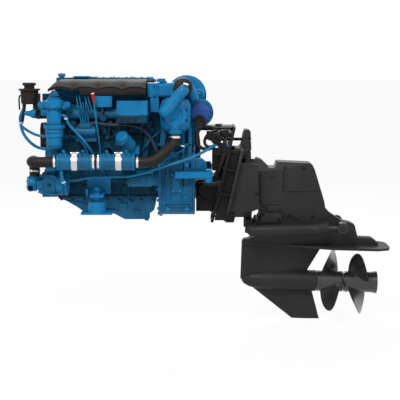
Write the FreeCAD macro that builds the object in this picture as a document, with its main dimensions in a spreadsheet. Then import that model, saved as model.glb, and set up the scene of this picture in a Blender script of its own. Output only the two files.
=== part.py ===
"""Stern drive engine: a four cylinder marine diesel with its transom shield and a
twin propeller drive leg. Millimetres. X points aft, Y to starboard, Z up. The origin
is where the crankshaft line meets the outer face of the transom."""
import FreeCAD, Part
import math
import os
import re
import Sketcher
from FreeCAD import Placement, Rotation, Vector

doc = FreeCAD.newDocument("SternDriveEngine")
sheet = doc.addObject("Spreadsheet::Sheet", "Sizes")
aliases = []
nodes = {}

LINES = {"x": Vector(1, 0, 0), "-x": Vector(-1, 0, 0), "y": Vector(0, 1, 0),
         "-y": Vector(0, -1, 0), "z": Vector(0, 0, 1), "-z": Vector(0, 0, -1)}
UPRIGHT = LINES["z"]
CROSSWISE = LINES["y"]


def sizes(**values):
    """Put driving dimensions in the sheet, one cell each, under their names."""
    for alias, number in values.items():
        aliases.append(alias)
        cell = f"A{len(aliases)}"
        sheet.set(cell, str(number))
        sheet.setAlias(cell, alias)
    sheet.recompute()


class Dimensions:
    """Reads a named dimension back from the sheet."""

    def __getattr__(self, alias):
        return float(sheet.get(alias))


dim = Dimensions()


def from_sheet(expression):
    """Write the sheet's name before each of its dimensions in an expression."""
    return re.sub(r"[a-z]\w*", lambda m: f"Sizes.{m[0]}" if m[0] in aliases else m[0], expression)


def bind(thing, prop, expression):
    """Tie one property of an object to the sheet."""
    thing.setExpression(prop, from_sheet(str(expression)))


def put(thing, at, turn=None):
    """Place an object, its three coordinates tied to the sheet."""
    thing.Placement = Placement(Vector(), turn or Rotation())
    for letter, expression in zip("xyz", at):
        bind(thing, f"Placement.Base.{letter}", expression)
    return thing


def box(name, corner, sides):
    """A block from its lowest corner."""
    block = doc.addObject("Part::Box", name)
    for prop, expression in zip(("Length", "Width", "Height"), sides):
        bind(block, prop, expression)
    return put(block, corner)


def rod(name, start, along, radius, length):
    """A round bar from the middle of its first end."""
    bar = doc.addObject("Part::Cylinder", name)
    bind(bar, "Radius", radius)
    bind(bar, "Height", length)
    line = LINES[along] if isinstance(along, str) else along
    return put(bar, start, Rotation(UPRIGHT, line))


def cone(name, start, along, radius, far_radius, length):
    """A tapered bar from the middle of its first end."""
    bar = doc.addObject("Part::Cone", name)
    bind(bar, "Radius1", radius)
    bind(bar, "Radius2", far_radius)
    bind(bar, "Height", length)
    line = LINES[along] if isinstance(along, str) else along
    return put(bar, start, Rotation(UPRIGHT, line))


def fuse(name, things):
    """Several forms joined into one piece."""
    whole = doc.addObject("Part::MultiFuse", name)
    whole.Shapes = things
    return whole


def cut(name, base, things):
    """A form with others taken out of it."""
    whole = doc.addObject("Part::Cut", name)
    whole.Base = base
    whole.Tool = things[0] if len(things) == 1 else fuse(name + "Tools", things)
    return whole


def common(name, things):
    """What several forms share."""
    whole = doc.addObject("Part::MultiCommon", name)
    whole.Shapes = things
    return whole


def group(name, things):
    """Separate solids kept together."""
    whole = doc.addObject("Part::Compound", name)
    whole.Links = things
    return whole


def outline(sketch, points):
    """Draw a closed outline whose corners are tied to the sheet."""
    count = len(points)
    turn = 2 * math.pi / count
    corner = [Vector(math.cos(k * turn), math.sin(k * turn), 0) for k in range(count)]
    sketch.addGeometry([Part.LineSegment(corner[k], corner[(k + 1) % count]) for k in range(count)])
    sketch.addConstraint([Sketcher.Constraint("Coincident", k, 2, (k + 1) % count, 1)
                          for k in range(count)])
    for k, point in enumerate(points):
        for kind, expression in zip(("DistanceX", "DistanceY"), point):
            index = sketch.addConstraint(Sketcher.Constraint(kind, -1, 1, k, 1, 1.0))
            bind(sketch, f"Constraints[{index}]", expression)


PLANES = {"side": Rotation(LINES["x"], 90), "plan": Rotation(), "front": Rotation(Vector(1, 1, 1), 120)}


def slab(name, plane, points, start, depth):
    """A flat outline given depth: side is drawn in X and Z, plan in X and Y, front in Y and Z.
    It starts at a distance along +Y, +Z or +X and grows that way."""
    sketch = doc.addObject("Sketcher::SketchObject", name + "Outline")
    outline(sketch, points)
    turn = PLANES[plane]
    at = {"side": ("0", start, "0"), "plan": ("0", "0", start), "front": (start, "0", "0")}[plane]
    put(sketch, at, turn)
    solid = doc.addObject("Part::Extrusion", name)
    solid.Base = sketch
    solid.DirMode = "Custom"
    solid.Dir = {"side": LINES["y"], "plan": LINES["z"], "front": LINES["x"]}[plane]
    solid.Solid = True
    bind(solid, "LengthFwd", depth)
    return solid


def plane_of(body, role):
    """One of a body's own base planes."""
    return next(feature for feature in body.Origin.OriginFeatures if feature.Role == role)


def turned(name, at, along, points):
    """A turned body: an outline of (distance along the axis, radius) spun about that axis."""
    body = doc.addObject("PartDesign::Body", name)
    sketch = body.newObject("Sketcher::SketchObject", name + "Profile")
    sketch.AttachmentSupport = [(plane_of(body, "XY_Plane"), "")]
    sketch.MapMode = "FlatFace"
    outline(sketch, points)
    spin = body.newObject("PartDesign::Revolution", name + "Spin")
    spin.Profile = sketch
    spin.ReferenceAxis = (sketch, ["H_Axis"])
    spin.Angle = 360
    line = LINES[along] if isinstance(along, str) else along
    put(body, at, Rotation(LINES["x"], line))
    return body


def padded_body(name, plane, points, start, depth):
    """A body whose first feature is an outline given depth, as slab, ready for fillets."""
    body = doc.addObject("PartDesign::Body", name)
    sketch = body.newObject("Sketcher::SketchObject", name + "Profile")
    sketch.AttachmentSupport = [(plane_of(body, {"side": "XZ_Plane", "plan": "XY_Plane",
                                                 "front": "YZ_Plane"}[plane]), "")]
    sketch.MapMode = "FlatFace"
    outline(sketch, points)
    pad = body.newObject("PartDesign::Pad", name + "Pad")
    pad.Profile = sketch
    pad.Reversed = plane == "side"
    bind(pad, "Length", depth)
    letter = {"side": "y", "plan": "z", "front": "x"}[plane]
    bind(body, f"Placement.Base.{letter}", start)
    doc.recompute()
    return body


def round_edges(body, radius, wanted):
    """Round the edges of a body that a test picks."""
    names = [f"Edge{k + 1}" for k, edge in enumerate(body.Tip.Shape.Edges) if wanted(edge)]
    fillet = body.newObject("PartDesign::Fillet", body.Name + f"Round{len(body.Group)}")
    fillet.Base = (body.Group[-2] if fillet in body.Group else body.Tip, names)
    bind(fillet, "Radius", radius)
    doc.recompute()
    return body


def runs_along(line):
    """A test for straight edges that run along a direction."""
    def test(edge):
        if not isinstance(edge.Curve, Part.Line):
            return False
        return abs(edge.Curve.Direction.dot(LINES[line])) > 0.999
    return test


def node(name, thing):
    """Name a finished piece."""
    thing.Label = name
    nodes[name] = thing
    return thing


def made(name, shape):
    """A piece whose shape is worked out here, from the sheet's dimensions."""
    thing = doc.addObject("Part::Feature", name)
    thing.Shape = shape
    return thing


def hose(points, radius):
    """A round hose along straight runs joined by tangent arcs, each arc as large as 0.45 of
    the shorter run beside it allows."""
    line = [Vector(*point) for point in points]
    edges = []
    here = line[0]
    for before, corner, after in zip(line, line[1:], line[2:]):
        back = (before - corner)
        ahead = (after - corner)
        reach = 0.45 * min(back.Length, ahead.Length)
        back.normalize()
        ahead.normalize()
        half = (math.pi - back.getAngle(ahead)) / 2
        bend = reach / math.tan(half)
        first = corner + back * reach
        last = corner + ahead * reach
        inward = (back + ahead)
        inward.normalize()
        middle = corner + inward * (bend / math.cos(half) - bend)
        edges.append(Part.LineSegment(here, first).toShape())
        edges.append(Part.Arc(first, middle, last).toShape())
        here = last
    edges.append(Part.LineSegment(here, line[-1]).toShape())
    path = Part.Wire(edges)
    circle = Part.Circle(line[0], line[1] - line[0], radius).toShape()
    return path.makePipeShell([Part.Wire([circle])], True, False)


def ring_shape(centre, line, inner, outer, width):
    """A plain ring about a line through its first face's centre."""
    return (Part.makeCylinder(outer, width, centre, line)
            .cut(Part.makeCylinder(inner, width, centre, line)))


sizes(fit=0.05, seat_gap=0.3, bell_gap=198, bell_length=187, block_length=520, block_width=260,
      deck_height=285, skirt_depth=80, journal_radius=32, nose_radius=18)
BELL_FRONT = "(-bell_gap-bell_length)"
BLOCK_FRONT = f"({BELL_FRONT}-block_length)"

# Cylinder block
sizes(rib_depth=12, rib_width=9, rib_spacing=104, plug_radius=21, plug_rise=4, stick_x=670,
      stick_low=56)


def cylinder_block():
    """The cast block, ribbed down both sides, with its core plugs and the crank tunnel."""
    side = {"port": "(-block_width/2-rib_depth)", "starboard": "(block_width/2)"}
    parts = [box("BlockCore", (BLOCK_FRONT, "-block_width/2", "-skirt_depth"),
                 ("block_length", "block_width", "deck_height+skirt_depth"))]
    for hand, edge in side.items():
        for k in range(5):
            along = f"{BLOCK_FRONT}+rib_spacing*{k}+rib_spacing/2-rib_width/2"
            parts.append(box(f"BlockRib{hand}{k}", (along, edge, "-skirt_depth"),
                             ("rib_width", "rib_depth", "skirt_depth+deck_height*0.3")))
        parts.append(box(f"BlockRail{hand}", (BLOCK_FRONT, edge, "-skirt_depth"),
                         ("block_length", "rib_depth", "rib_width")))
        outward = "-y" if hand == "port" else "y"
        start = "-block_width/2" if hand == "port" else "block_width/2"
        for k in range(3):
            along = f"{BLOCK_FRONT}+rib_spacing*({k}+1.5)"
            parts.append(rod(f"BlockPlug{hand}{k}", (along, start, "deck_height*0.55"),
                             outward, "plug_radius", "plug_rise"))
    parts.append(box("BlockDipstickBoss", ("-stick_x-14", "-block_width/2-26", "stick_low-30"),
                     ("28", "26", "30")))
    tunnel = rod("BlockTunnel", (BLOCK_FRONT + "-1", "0", "0"), "x", "journal_radius+fit", "block_length+2")
    node("cylinder_block", cut("Block", fuse("BlockCasting", parts), [tunnel]))


cylinder_block()

# Oil pan
sizes(pan_width=220, pan_rail=244, pan_rail_depth=8, pan_shallow=72, pan_deep=123, pan_corner=18,
      pan_aft_gap=14, pan_well_start=339, pan_well_end=425, drain_radius=11, drain_rise=12)


def oil_pan():
    """The pressed pan: shallow forward, with its well under the rear cylinders."""
    top = "(-skirt_depth-pan_rail_depth)"
    front = BLOCK_FRONT
    points = [(f"{front}+4", top), (f"{front}+40", "-skirt_depth-pan_shallow*0.3"),
              (f"{front}+89", "-skirt_depth-pan_shallow*0.7"),
              (f"{front}+119", "-skirt_depth-pan_shallow"),
              (f"{front}+pan_well_start-52", "-skirt_depth-pan_shallow-20"),
              (f"{front}+pan_well_start", "-skirt_depth-pan_deep"),
              (f"{front}+pan_well_end", "-skirt_depth-pan_deep"),
              (f"{front}+pan_well_end+69", "-skirt_depth-pan_shallow"),
              (f"{front}+block_length-pan_aft_gap", top)]
    draft = [("-pan_width/2", top), ("-pan_width/2+8", "-skirt_depth-pan_shallow"),
             ("-pan_width/2+pan_corner*2", "-skirt_depth-pan_deep-1"),
             ("pan_width/2-pan_corner*2", "-skirt_depth-pan_deep-1"),
             ("pan_width/2-8", "-skirt_depth-pan_shallow"), ("pan_width/2", top)]
    pan = common("PanWell", [slab("PanSide", "side", points, "-pan_width/2-1", "pan_width+2"),
                             slab("PanFront", "front", draft, f"{front}-1", "block_length")])
    rail = box("PanRail", (front, "-pan_rail/2", top), ("block_length-pan_aft_gap", "pan_rail",
                                                        "pan_rail_depth"))
    plug = rod("PanDrain", (f"{front}+pan_well_end+30", "-pan_width/2+34",
                            "-skirt_depth-pan_deep*0.95"), "-z", "drain_radius", "drain_rise")
    boss = rod("PanDrainBoss", (f"{front}+pan_well_end+30", "-pan_width/2+34",
                                "-skirt_depth-pan_deep*0.95"), "z", "drain_radius*1.5", "pan_deep*0.5")
    node("oil_pan", fuse("Pan", [pan, rail, plug, boss]))


oil_pan()

# Timing case, crankshaft, pulleys, belt and guard
sizes(case_depth=57, case_port=250, case_starboard=125, case_low=62, case_corner=20, belt_gap=3,
      belt_width=18, belt_thick=5, crank_pulley_radius=58, pump_pulley_radius=50, pump_pulley_y=20,
      pump_pulley_z=225, alternator_pulley_radius=32, alternator_y=200, alternator_z=225,
      groove_depth=3, pulley_shaft=10, crank_flange=45, crank_flange_length=15,
      guard_front=42, guard_wall=4, guard_low=160, guard_margin=17)
CASE_FRONT = f"({BLOCK_FRONT}-case_depth)"
PULLEY_AFT = f"({CASE_FRONT}-belt_gap)"
PULLEY_FRONT = f"({PULLEY_AFT}-belt_width)"


def timing_case():
    """The gear case on the front of the block. Its low port ear carries the sea water pump."""
    points = [("-case_port", "-case_low"), ("-case_port", "case_low"), ("-block_width/2", "case_low+14"),
              ("-case_starboard", "deck_height"), ("case_starboard", "deck_height"),
              ("case_starboard", "-skirt_depth+5"), ("-block_width/2", "-skirt_depth+5")]
    case = padded_body("Case", "front", points, CASE_FRONT, "case_depth")
    round_edges(case, "case_corner", runs_along("x"))
    bore = rod("CaseBore", (CASE_FRONT + "-1", "0", "0"), "x", "journal_radius+fit", "case_depth+2")
    pump_bore = rod("CasePumpBore", (CASE_FRONT + "-1", "pump_pulley_y", "pump_pulley_z"), "x",
                    "pulley_shaft+fit", "case_depth*0.6")
    node("timing_case", cut("TimingCase", case, [bore, pump_bore]))


def pulley(name, at, radius, bore, shaft_length):
    """A grooved belt pulley, on a shaft of its own or bored for one."""
    inner = "0" if shaft_length else bore
    points = [("0", inner), ("0", radius), ("belt_width*0.12", radius),
              ("belt_width*0.12", f"{radius}-groove_depth"),
              ("belt_width*0.88", f"{radius}-groove_depth"), ("belt_width*0.88", radius),
              ("belt_width", radius)]
    if shaft_length:
        points += [("belt_width", bore), (f"belt_width+{shaft_length}", bore),
                   (f"belt_width+{shaft_length}", "0")]
    else:
        points += [("belt_width", inner)]
    node(name, turned(name.title().replace("_", ""), at, "x", points))


def belt_loop(wheels, offset):
    """The outline of a belt round wheels (y, z, radius), listed against the clock as seen
    from astern: outer tangents joined by arcs, all a distance outside the wheels."""
    edges = []
    touch = []
    for (ya, za, ra), (yb, zb, rb) in zip(wheels, wheels[1:] + wheels[:1]):
        heading = math.atan2(zb - za, yb - ya)
        lean = math.asin((ra - rb) / math.hypot(yb - ya, zb - za))
        normal = heading - math.pi / 2 + lean
        touch.append(((ya + (ra + offset) * math.cos(normal), za + (ra + offset) * math.sin(normal)),
                      (yb + (rb + offset) * math.cos(normal), zb + (rb + offset) * math.sin(normal)),
                      normal))
    for k, (leave, land, normal) in enumerate(touch):
        edges.append(Part.LineSegment(Vector(0, *leave), Vector(0, *land)).toShape())
        y, z, radius = wheels[(k + 1) % len(wheels)]
        following = touch[(k + 1) % len(touch)]
        sweep = (following[2] - normal) % (2 * math.pi)
        middle = normal + sweep / 2
        top = Vector(0, y + (radius + offset) * math.cos(middle), z + (radius + offset) * math.sin(middle))
        edges.append(Part.Arc(Vector(0, *land), top, Vector(0, *following[0])).toShape())
    return Part.Face(Part.Wire(edges))


def crank_drive():
    """The crankshaft with its pulley, the two driven pulleys, the belt and its guard."""
    nose = f"({PULLEY_FRONT}-6)"
    points = [("0", "0"), ("0", "nose_radius"), (f"{CASE_FRONT}-{nose}+2", "nose_radius"),
              (f"{CASE_FRONT}-{nose}+2", "journal_radius"), (f"{BELL_FRONT}-{nose}+2", "journal_radius"),
              (f"{BELL_FRONT}-{nose}+2", "crank_flange"),
              (f"{BELL_FRONT}-{nose}+crank_flange_length", "crank_flange"),
              (f"{BELL_FRONT}-{nose}+crank_flange_length", "0")]
    node("crankshaft", turned("Crankshaft", (nose, "0", "0"), "x", points))
    pulley("crank_pulley", (PULLEY_FRONT, "0", "0"), "crank_pulley_radius", "nose_radius+fit", "")
    pulley("coolant_pump_pulley", (PULLEY_FRONT, "pump_pulley_y", "pump_pulley_z"),
           "pump_pulley_radius", "pulley_shaft", "case_depth*0.4")
    pulley("alternator_pulley", (PULLEY_FRONT, "alternator_y", "alternator_z"),
           "alternator_pulley_radius", "pulley_shaft", "belt_gap+20")
    doc.recompute()
    wheels = [(0.0, 0.0, dim.crank_pulley_radius), (dim.alternator_y, dim.alternator_z,
              dim.alternator_pulley_radius), (dim.pump_pulley_y, dim.pump_pulley_z, dim.pump_pulley_radius)]
    width = dim.belt_width * 0.7
    start = -dim.bell_gap - dim.bell_length - dim.block_length - dim.case_depth - dim.belt_gap
    start -= dim.belt_width * 0.85
    outer = belt_loop(wheels, dim.seat_gap + dim.belt_thick).extrude(Vector(width, 0, 0))
    inner = belt_loop(wheels, dim.seat_gap).extrude(Vector(width, 0, 0))
    belt = made("Belt", outer.cut(inner))
    belt.Placement = Placement(Vector(start, 0, 0), Rotation())
    node("drive_belt", belt)
    low, margin = "guard_low", "(belt_thick+guard_margin)"
    port = f"pump_pulley_y-pump_pulley_radius-{margin}"
    starboard = f"alternator_y+alternator_pulley_radius+{margin}"
    top = f"pump_pulley_z+pump_pulley_radius+{margin}"

    def shape(inset):
        return [(f"{port}+{inset}", low if inset == "0" else f"{low}-1"),
                (f"{port}+{inset}", f"{top}-30"), (f"{port}+30", f"{top}-{inset}"),
                (f"pump_pulley_y+50", f"{top}-{inset}"),
                (f"{starboard}-{inset}", "alternator_z+alternator_pulley_radius"),
                (f"{starboard}-{inset}", low if inset == "0" else f"{low}-1")]
    skin = slab("GuardSkin", "front", shape("0"), f"{CASE_FRONT}-guard_front", "guard_front")
    room = slab("GuardRoom", "front", shape("guard_wall"), f"{CASE_FRONT}-guard_front+guard_wall",
                "guard_front")
    node("belt_guard", cut("Guard", skin, [room]))


timing_case()
crank_drive()

# Cylinder head, valve cover and engine cover
sizes(head_overhang=50, head_width=224, head_height=115, thermostat_length=45, thermostat_width=110,
      valve_width=168, valve_port=60, valve_height=98, strip_width=76, strip_height=34,
      strip_start=30, rocker_rise=4, cover_port=188, cover_starboard=22, cover_top=523, cover_low=448,
      cover_nose=943, cover_aft=462, cover_wall=6, wave_period=133, wave_high=493, wave_low=479,
      wave_rise=5, cap_radius=16, cap_height=18, cap_grip=19)
HEAD_TOP = "(deck_height+head_height)"
VALVE_TOP = f"({HEAD_TOP}+valve_height)"


def cylinder_head():
    """The head, overhanging the timing case, with the thermostat housing on its front."""
    front = f"({BLOCK_FRONT}-head_overhang)"
    core = box("HeadCore", (front, "-head_width/2", "deck_height"),
               ("block_length+head_overhang-5", "head_width", "head_height"))
    housing = box("HeadThermostat", (f"{front}-thermostat_length", "-thermostat_width/2",
                                     "deck_height+55"),
                  ("thermostat_length", "thermostat_width", "head_height-58"))
    outlet = rod("HeadOutlet", (f"{front}-thermostat_length/2", "0", f"{HEAD_TOP}-5"), "z",
                 "thermostat_length*0.42", "55")
    node("cylinder_head", fuse("Head", [core, housing, outlet]))


def valve_cover():
    """The valve cover with its raised ridge, filler neck and rear cap."""
    front = f"({BLOCK_FRONT}-20)"
    skirt = box("ValveSkirt", (front, "-valve_port", HEAD_TOP),
                ("block_length-15", "valve_width", "valve_height"))
    ridge = box("ValveRidge", (front, "strip_start", VALVE_TOP),
                ("block_length-30", "strip_width", "strip_height"))
    rocker = box("ValveRocker", (f"{front}+116", "strip_start+10", f"{VALVE_TOP}+strip_height"),
                 ("84", "strip_width-20", "rocker_rise"))
    neck = rod("ValveNeck", (f"{front}+24", "strip_start+strip_width/2", f"{VALVE_TOP}+strip_height"),
               "z", "cap_radius*0.8", "rocker_rise")
    rear = box("ValveRear", (f"{front}+block_length-30", "strip_start+8", f"{VALVE_TOP}+4"),
               ("15", "strip_width-16", "strip_height"))
    node("valve_cover", fuse("ValveCover", [skirt, ridge, rocker, neck, rear]))
    cap = turned("FillerCap", (f"{front}+24", "strip_start+strip_width/2",
                               f"{VALVE_TOP}+strip_height+rocker_rise"), "z",
                 [("0", "0"), ("0", "cap_radius"), ("cap_height*0.6", "cap_radius"),
                  ("cap_height*0.7", "cap_radius*0.7"), ("cap_height", "cap_radius*0.6"),
                  ("cap_height", "0")])
    bar = box("FillerGrip", (f"{front}+24-cap_grip", "strip_start+strip_width/2-4",
                             f"{VALVE_TOP}+strip_height+rocker_rise+cap_height*0.1"),
              ("cap_grip*2", "8", "cap_height*0.8"))
    node("oil_filler_cap", fuse("FillerCapWhole", [cap, bar]))


def engine_cover():
    """The black half cover over the port side of the valve cover: a bent shell with a tapered
    nose, and a raised band whose lower edge is a row of arches."""
    bend = [("cover_starboard", "cover_top-10"), ("cover_starboard", "cover_top"),
            ("-cover_port*0.75", "cover_top-4"), ("-cover_port*0.93", "cover_top-8"),
            ("-cover_port", "cover_top-19"), ("-cover_port", "cover_low"),
            ("-cover_port+cover_wall", "cover_low"), ("-cover_port+cover_wall", "cover_top-22"),
            ("-cover_port*0.9", "cover_top-14"), ("-cover_port*0.73", "cover_top-10")]
    side = [("-cover_nose", "cover_low+28"), ("-cover_nose", "cover_low+34"),
            ("-cover_nose+47", "cover_top"), ("-cover_aft-6", "cover_top"),
            ("-cover_aft", "cover_top-20"), ("-cover_aft", "cover_low"),
            ("-cover_nose+158", "cover_low"), ("-cover_nose+150", "cover_low+20")]
    shell = common("CoverShell", [slab("CoverBend", "front", bend, "-cover_nose-5",
                                       "cover_nose-cover_aft+10"),
                                  slab("CoverSide", "side", side, "-cover_port-5",
                                       "cover_port+cover_starboard+10")])
    start = -dim.cover_nose + 21
    top = dim.cover_top - 21
    edges = []
    end = start
    while end < -dim.cover_aft - 5:
        left = Vector(end, 0, dim.wave_low)
        end = min(end + dim.wave_period, -dim.cover_aft - 4)
        right = Vector(end, 0, dim.wave_low)
        crest = Vector((left.x + right.x) / 2, 0, dim.wave_high)
        edges.append(Part.Arc(left, crest, right).toShape())
    for near, far in (((end, dim.wave_low), (end, top)), ((end, top), (start + 8, top)),
                      ((start + 8, top), (start, dim.wave_low))):
        edges.append(Part.LineSegment(Vector(near[0], 0, near[1]), Vector(far[0], 0, far[1])).toShape())
    band = made("CoverBand", Part.Face(Part.Wire(edges)).extrude(
        Vector(0, dim.wave_rise + dim.cover_wall / 2, 0)))
    band.Placement = Placement(Vector(0, -dim.cover_port - dim.wave_rise, 0), Rotation())
    post = box("CoverPost", ("-cover_nose+200", "-valve_port+8", VALVE_TOP), ("24", "24",
               "cover_top-8-deck_height-head_height-valve_height"))
    post_aft = box("CoverPostAft", ("-cover_aft-70", "-valve_port+8", VALVE_TOP), ("24", "24",
                   "cover_top-8-deck_height-head_height-valve_height"))
    node("engine_cover", fuse("EngineCover", [shell, band, post, post_aft]))


cylinder_head()
valve_cover()
engine_cover()

# Flywheel housing, flywheel and output shaft
sizes(bell_flange=195, bell_flange_length=15, bell_half=172, bell_round=70, flywheel_radius=155,
      flywheel_width=45, bell_room=165, bell_rear_wall=16, ring_gear_width=14, ring_gear_rise=6,
      shaft_radius=22, joint_x=78, ball_radius=20, cup_wall=6, bell_rib=5)


def flywheel_housing():
    """The bell behind the block: a round flange, a box with large corners and its ribs."""
    half = "bell_half"
    points = [(f"-{half}", f"-{half}"), (f"-{half}", half), (half, half), (half, f"-{half}")]
    casting = padded_body("BellBox", "front", points, BELL_FRONT, "bell_length")
    round_edges(casting, "bell_round", runs_along("x"))
    flange = rod("BellFlange", (BELL_FRONT, "0", "0"), "x", "bell_flange", "bell_flange_length")
    ribs = []
    for hand, edge in (("Port", "-bell_half-bell_rib"), ("Starboard", "bell_half")):
        for k in range(3):
            ribs.append(box(f"BellRib{hand}{k}", (f"{BELL_FRONT}+bell_length*(0.25+{k}*0.3)", edge,
                                                  "-bell_half*0.62"), ("8", "bell_rib", "bell_half*1.1")))
        ribs.append(box(f"BellBar{hand}", (f"{BELL_FRONT}+bell_flange_length", edge,
                                           "-bell_half*0.62"),
                        ("bell_length-bell_flange_length-10", "bell_rib", "8")))
    room = rod("BellRoom", (BELL_FRONT + "-1", "0", "0"), "x", "bell_room",
               "bell_length-bell_rear_wall+1")
    bore = rod("BellBore", ("-bell_gap-bell_rear_wall-1", "0", "0"), "x", "shaft_radius+fit",
               "bell_rear_wall+2")
    node("flywheel_housing", cut("Bell", fuse("BellCasting", [casting, flange] + ribs), [room, bore]))


def spinning_line():
    """The flywheel on the crank flange, and the shaft that runs aft to the joint, its end a cup
    round the ball of the drive's own shaft."""
    start = f"{BELL_FRONT}+crank_flange_length"
    node("flywheel", turned("Flywheel", (start, "0", "0"), "x", [
        ("0", "0"), ("0", "flywheel_radius"), ("flywheel_width*0.3", "flywheel_radius"),
        ("flywheel_width*0.3", "flywheel_radius+ring_gear_rise"),
        ("flywheel_width*0.3+ring_gear_width", "flywheel_radius+ring_gear_rise"),
        ("flywheel_width*0.3+ring_gear_width", "flywheel_radius"),
        ("flywheel_width", "flywheel_radius-20"), ("flywheel_width*0.7", "flywheel_radius-45"),
        ("flywheel_width*0.7", "60"), ("flywheel_width", "50"), ("flywheel_width", "0")]))
    run = f"(joint_x-({start})-flywheel_width)"
    shaft = turned("OutputShaft", (f"{start}+flywheel_width", "0", "0"), "x", [
        ("0", "0"), ("0", "50"), ("12", "50"), ("20", "shaft_radius"),
        (f"{run}-42", "shaft_radius"), (f"{run}-ball_radius-cup_wall-4", "shaft_radius*0.8"),
        (f"{run}-ball_radius", "ball_radius+cup_wall"), (f"{run}-5", "ball_radius+cup_wall"),
        (f"{run}-5", "0")])
    socket = doc.addObject("Part::Sphere", "OutputSocket")
    bind(socket, "Radius", "ball_radius+seat_gap")
    put(socket, ("joint_x", "0", "0"))
    node("output_shaft", cut("OutputShaftWhole", shaft, [socket]))


flywheel_housing()
spinning_line()

# Mounts
sizes(foot_x=691, foot_y=280, foot_length=157, foot_width=96, foot_thick=10, foot_bottom=142,
      foot_hole_radius=6.5, foot_hole_spacing=118, rubber_radius=42, rubber_height=50, stud_radius=8,
      stud_top=8, arm_thick=12, nut_radius=15, nut_height=12, rear_arm_y=200, rear_arm_x=128,
      rear_arm_low=30, rear_arm_high=62, rear_arm_width=44, bush_radius=20, bush_height=24,
      bush_bolt=9)


def front_and_rear_mounts():
    """Front feet of rubber in a steel shell on a slotted flange, with stud and nuts, and the
    rear bushes under the arms of the flywheel housing."""
    parts = []
    for hand, sign in (("Port", "-"), ("Starboard", "")):
        y = f"{sign}foot_y"
        low = "-foot_bottom"
        flange = box(f"Foot{hand}", ("-foot_x-foot_length/2", f"{y}-foot_width/2", low),
                     ("foot_length", "foot_width", "foot_thick"))
        shell = cone(f"Rubber{hand}", ("-foot_x", y, f"{low}+foot_thick"), "z", "rubber_radius+6",
                     "rubber_radius", "rubber_height")
        stud = rod(f"Stud{hand}", ("-foot_x", y, f"{low}+foot_thick+rubber_height"), "z",
                   "stud_radius", "foot_bottom-foot_thick-rubber_height-stud_top")
        nuts = []
        arm_low = "-arm_level"
        for k, at in enumerate((f"{arm_low}-nut_height", f"{arm_low}+arm_thick")):
            nuts.append(rod(f"Nut{hand}{k}", ("-foot_x", y, at), "z", "nut_radius", "nut_height"))
        holes = [rod(f"FootHole{hand}{k}", (f"-foot_x+foot_hole_spacing*({k}-0.5)", y, f"{low}-1"), "z",
                     "foot_hole_radius", "foot_thick+2") for k in range(2)]
        parts.append(cut(f"Mount{hand}", fuse(f"MountBody{hand}", [flange, shell, stud] + nuts), holes))
        bush = rod(f"Bush{hand}", ("-rear_arm_x", f"{sign}rear_arm_y", "rear_arm_low-bush_height"), "z",
                   "bush_radius", "bush_height")
        bolt = rod(f"BushBolt{hand}", ("-rear_arm_x", f"{sign}rear_arm_y", "rear_arm_low"), "z",
                   "bush_bolt-seat_gap", "rear_arm_high-rear_arm_low")
        head = rod(f"BushHead{hand}", ("-rear_arm_x", f"{sign}rear_arm_y", "rear_arm_high"), "z",
                   "bush_bolt*1.8", "nut_height")
        parts.append(fuse(f"RearBush{hand}", [bush, bolt, head]))
    node("engine_mounts", group("EngineMounts", parts))


def mount_brackets():
    """Arms from the block out to the front studs, and from the flywheel housing aft to the
    bushes."""
    parts = []
    for hand, sign in (("Port", "-"), ("Starboard", "")):
        y = f"{sign}foot_y"
        inner = "-foot_y-22" if sign else "block_width/2+rib_depth"
        level = "-arm_level"
        span = "foot_y+22-block_width/2-rib_depth"
        plate = box(f"FrontArm{hand}", ("-foot_x-34", inner, level), ("68", span, "arm_thick"))
        pad_y = "-block_width/2-rib_depth-12" if sign else "block_width/2+rib_depth"
        pad = box(f"FrontPad{hand}", ("-foot_x-60", pad_y, level), ("120", "12", "arm_thick+70"))
        web_y = "-block_width/2-rib_depth-100" if sign else "block_width/2+rib_depth"
        web = box(f"FrontWeb{hand}", ("-foot_x-60", web_y, level), ("10", "100", "34"))
        hole = rod(f"ArmHole{hand}", ("-foot_x", y, f"{level}-1"), "z", "stud_radius+seat_gap",
                   "arm_thick+2")
        parts.append(cut(f"FrontBracket{hand}", fuse(f"FrontCasting{hand}", [plate, pad, web]), [hole]))
        side = "-rear_arm_y-rear_arm_width/2" if sign else "bell_half+bell_rib"
        reach = "rear_arm_y+rear_arm_width/2-bell_half-bell_rib"
        root = box(f"RearRoot{hand}", ("-bell_gap-100", side, "rear_arm_low"),
                   ("100", reach, "rear_arm_high-rear_arm_low"))
        arm = box(f"RearArm{hand}", ("-bell_gap-60", f"{sign}rear_arm_y-rear_arm_width/2",
                                     "rear_arm_low"),
                  ("bell_gap+60-rear_arm_x", "rear_arm_width", "rear_arm_high-rear_arm_low"))
        eye = rod(f"RearEye{hand}", ("-rear_arm_x", f"{sign}rear_arm_y", "rear_arm_low"), "z",
                  "rear_arm_width/2", "rear_arm_high-rear_arm_low")
        bore = rod(f"RearBore{hand}", ("-rear_arm_x", f"{sign}rear_arm_y", "rear_arm_low-1"), "z",
                   "bush_bolt", "rear_arm_high-rear_arm_low+2")
        parts.append(cut(f"RearBracket{hand}", fuse(f"RearCasting{hand}", [root, arm, eye]),
                         [bore]))
    node("mount_brackets", group("MountBrackets", parts))


sizes(arm_level=58)
front_and_rear_mounts()
mount_brackets()

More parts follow.
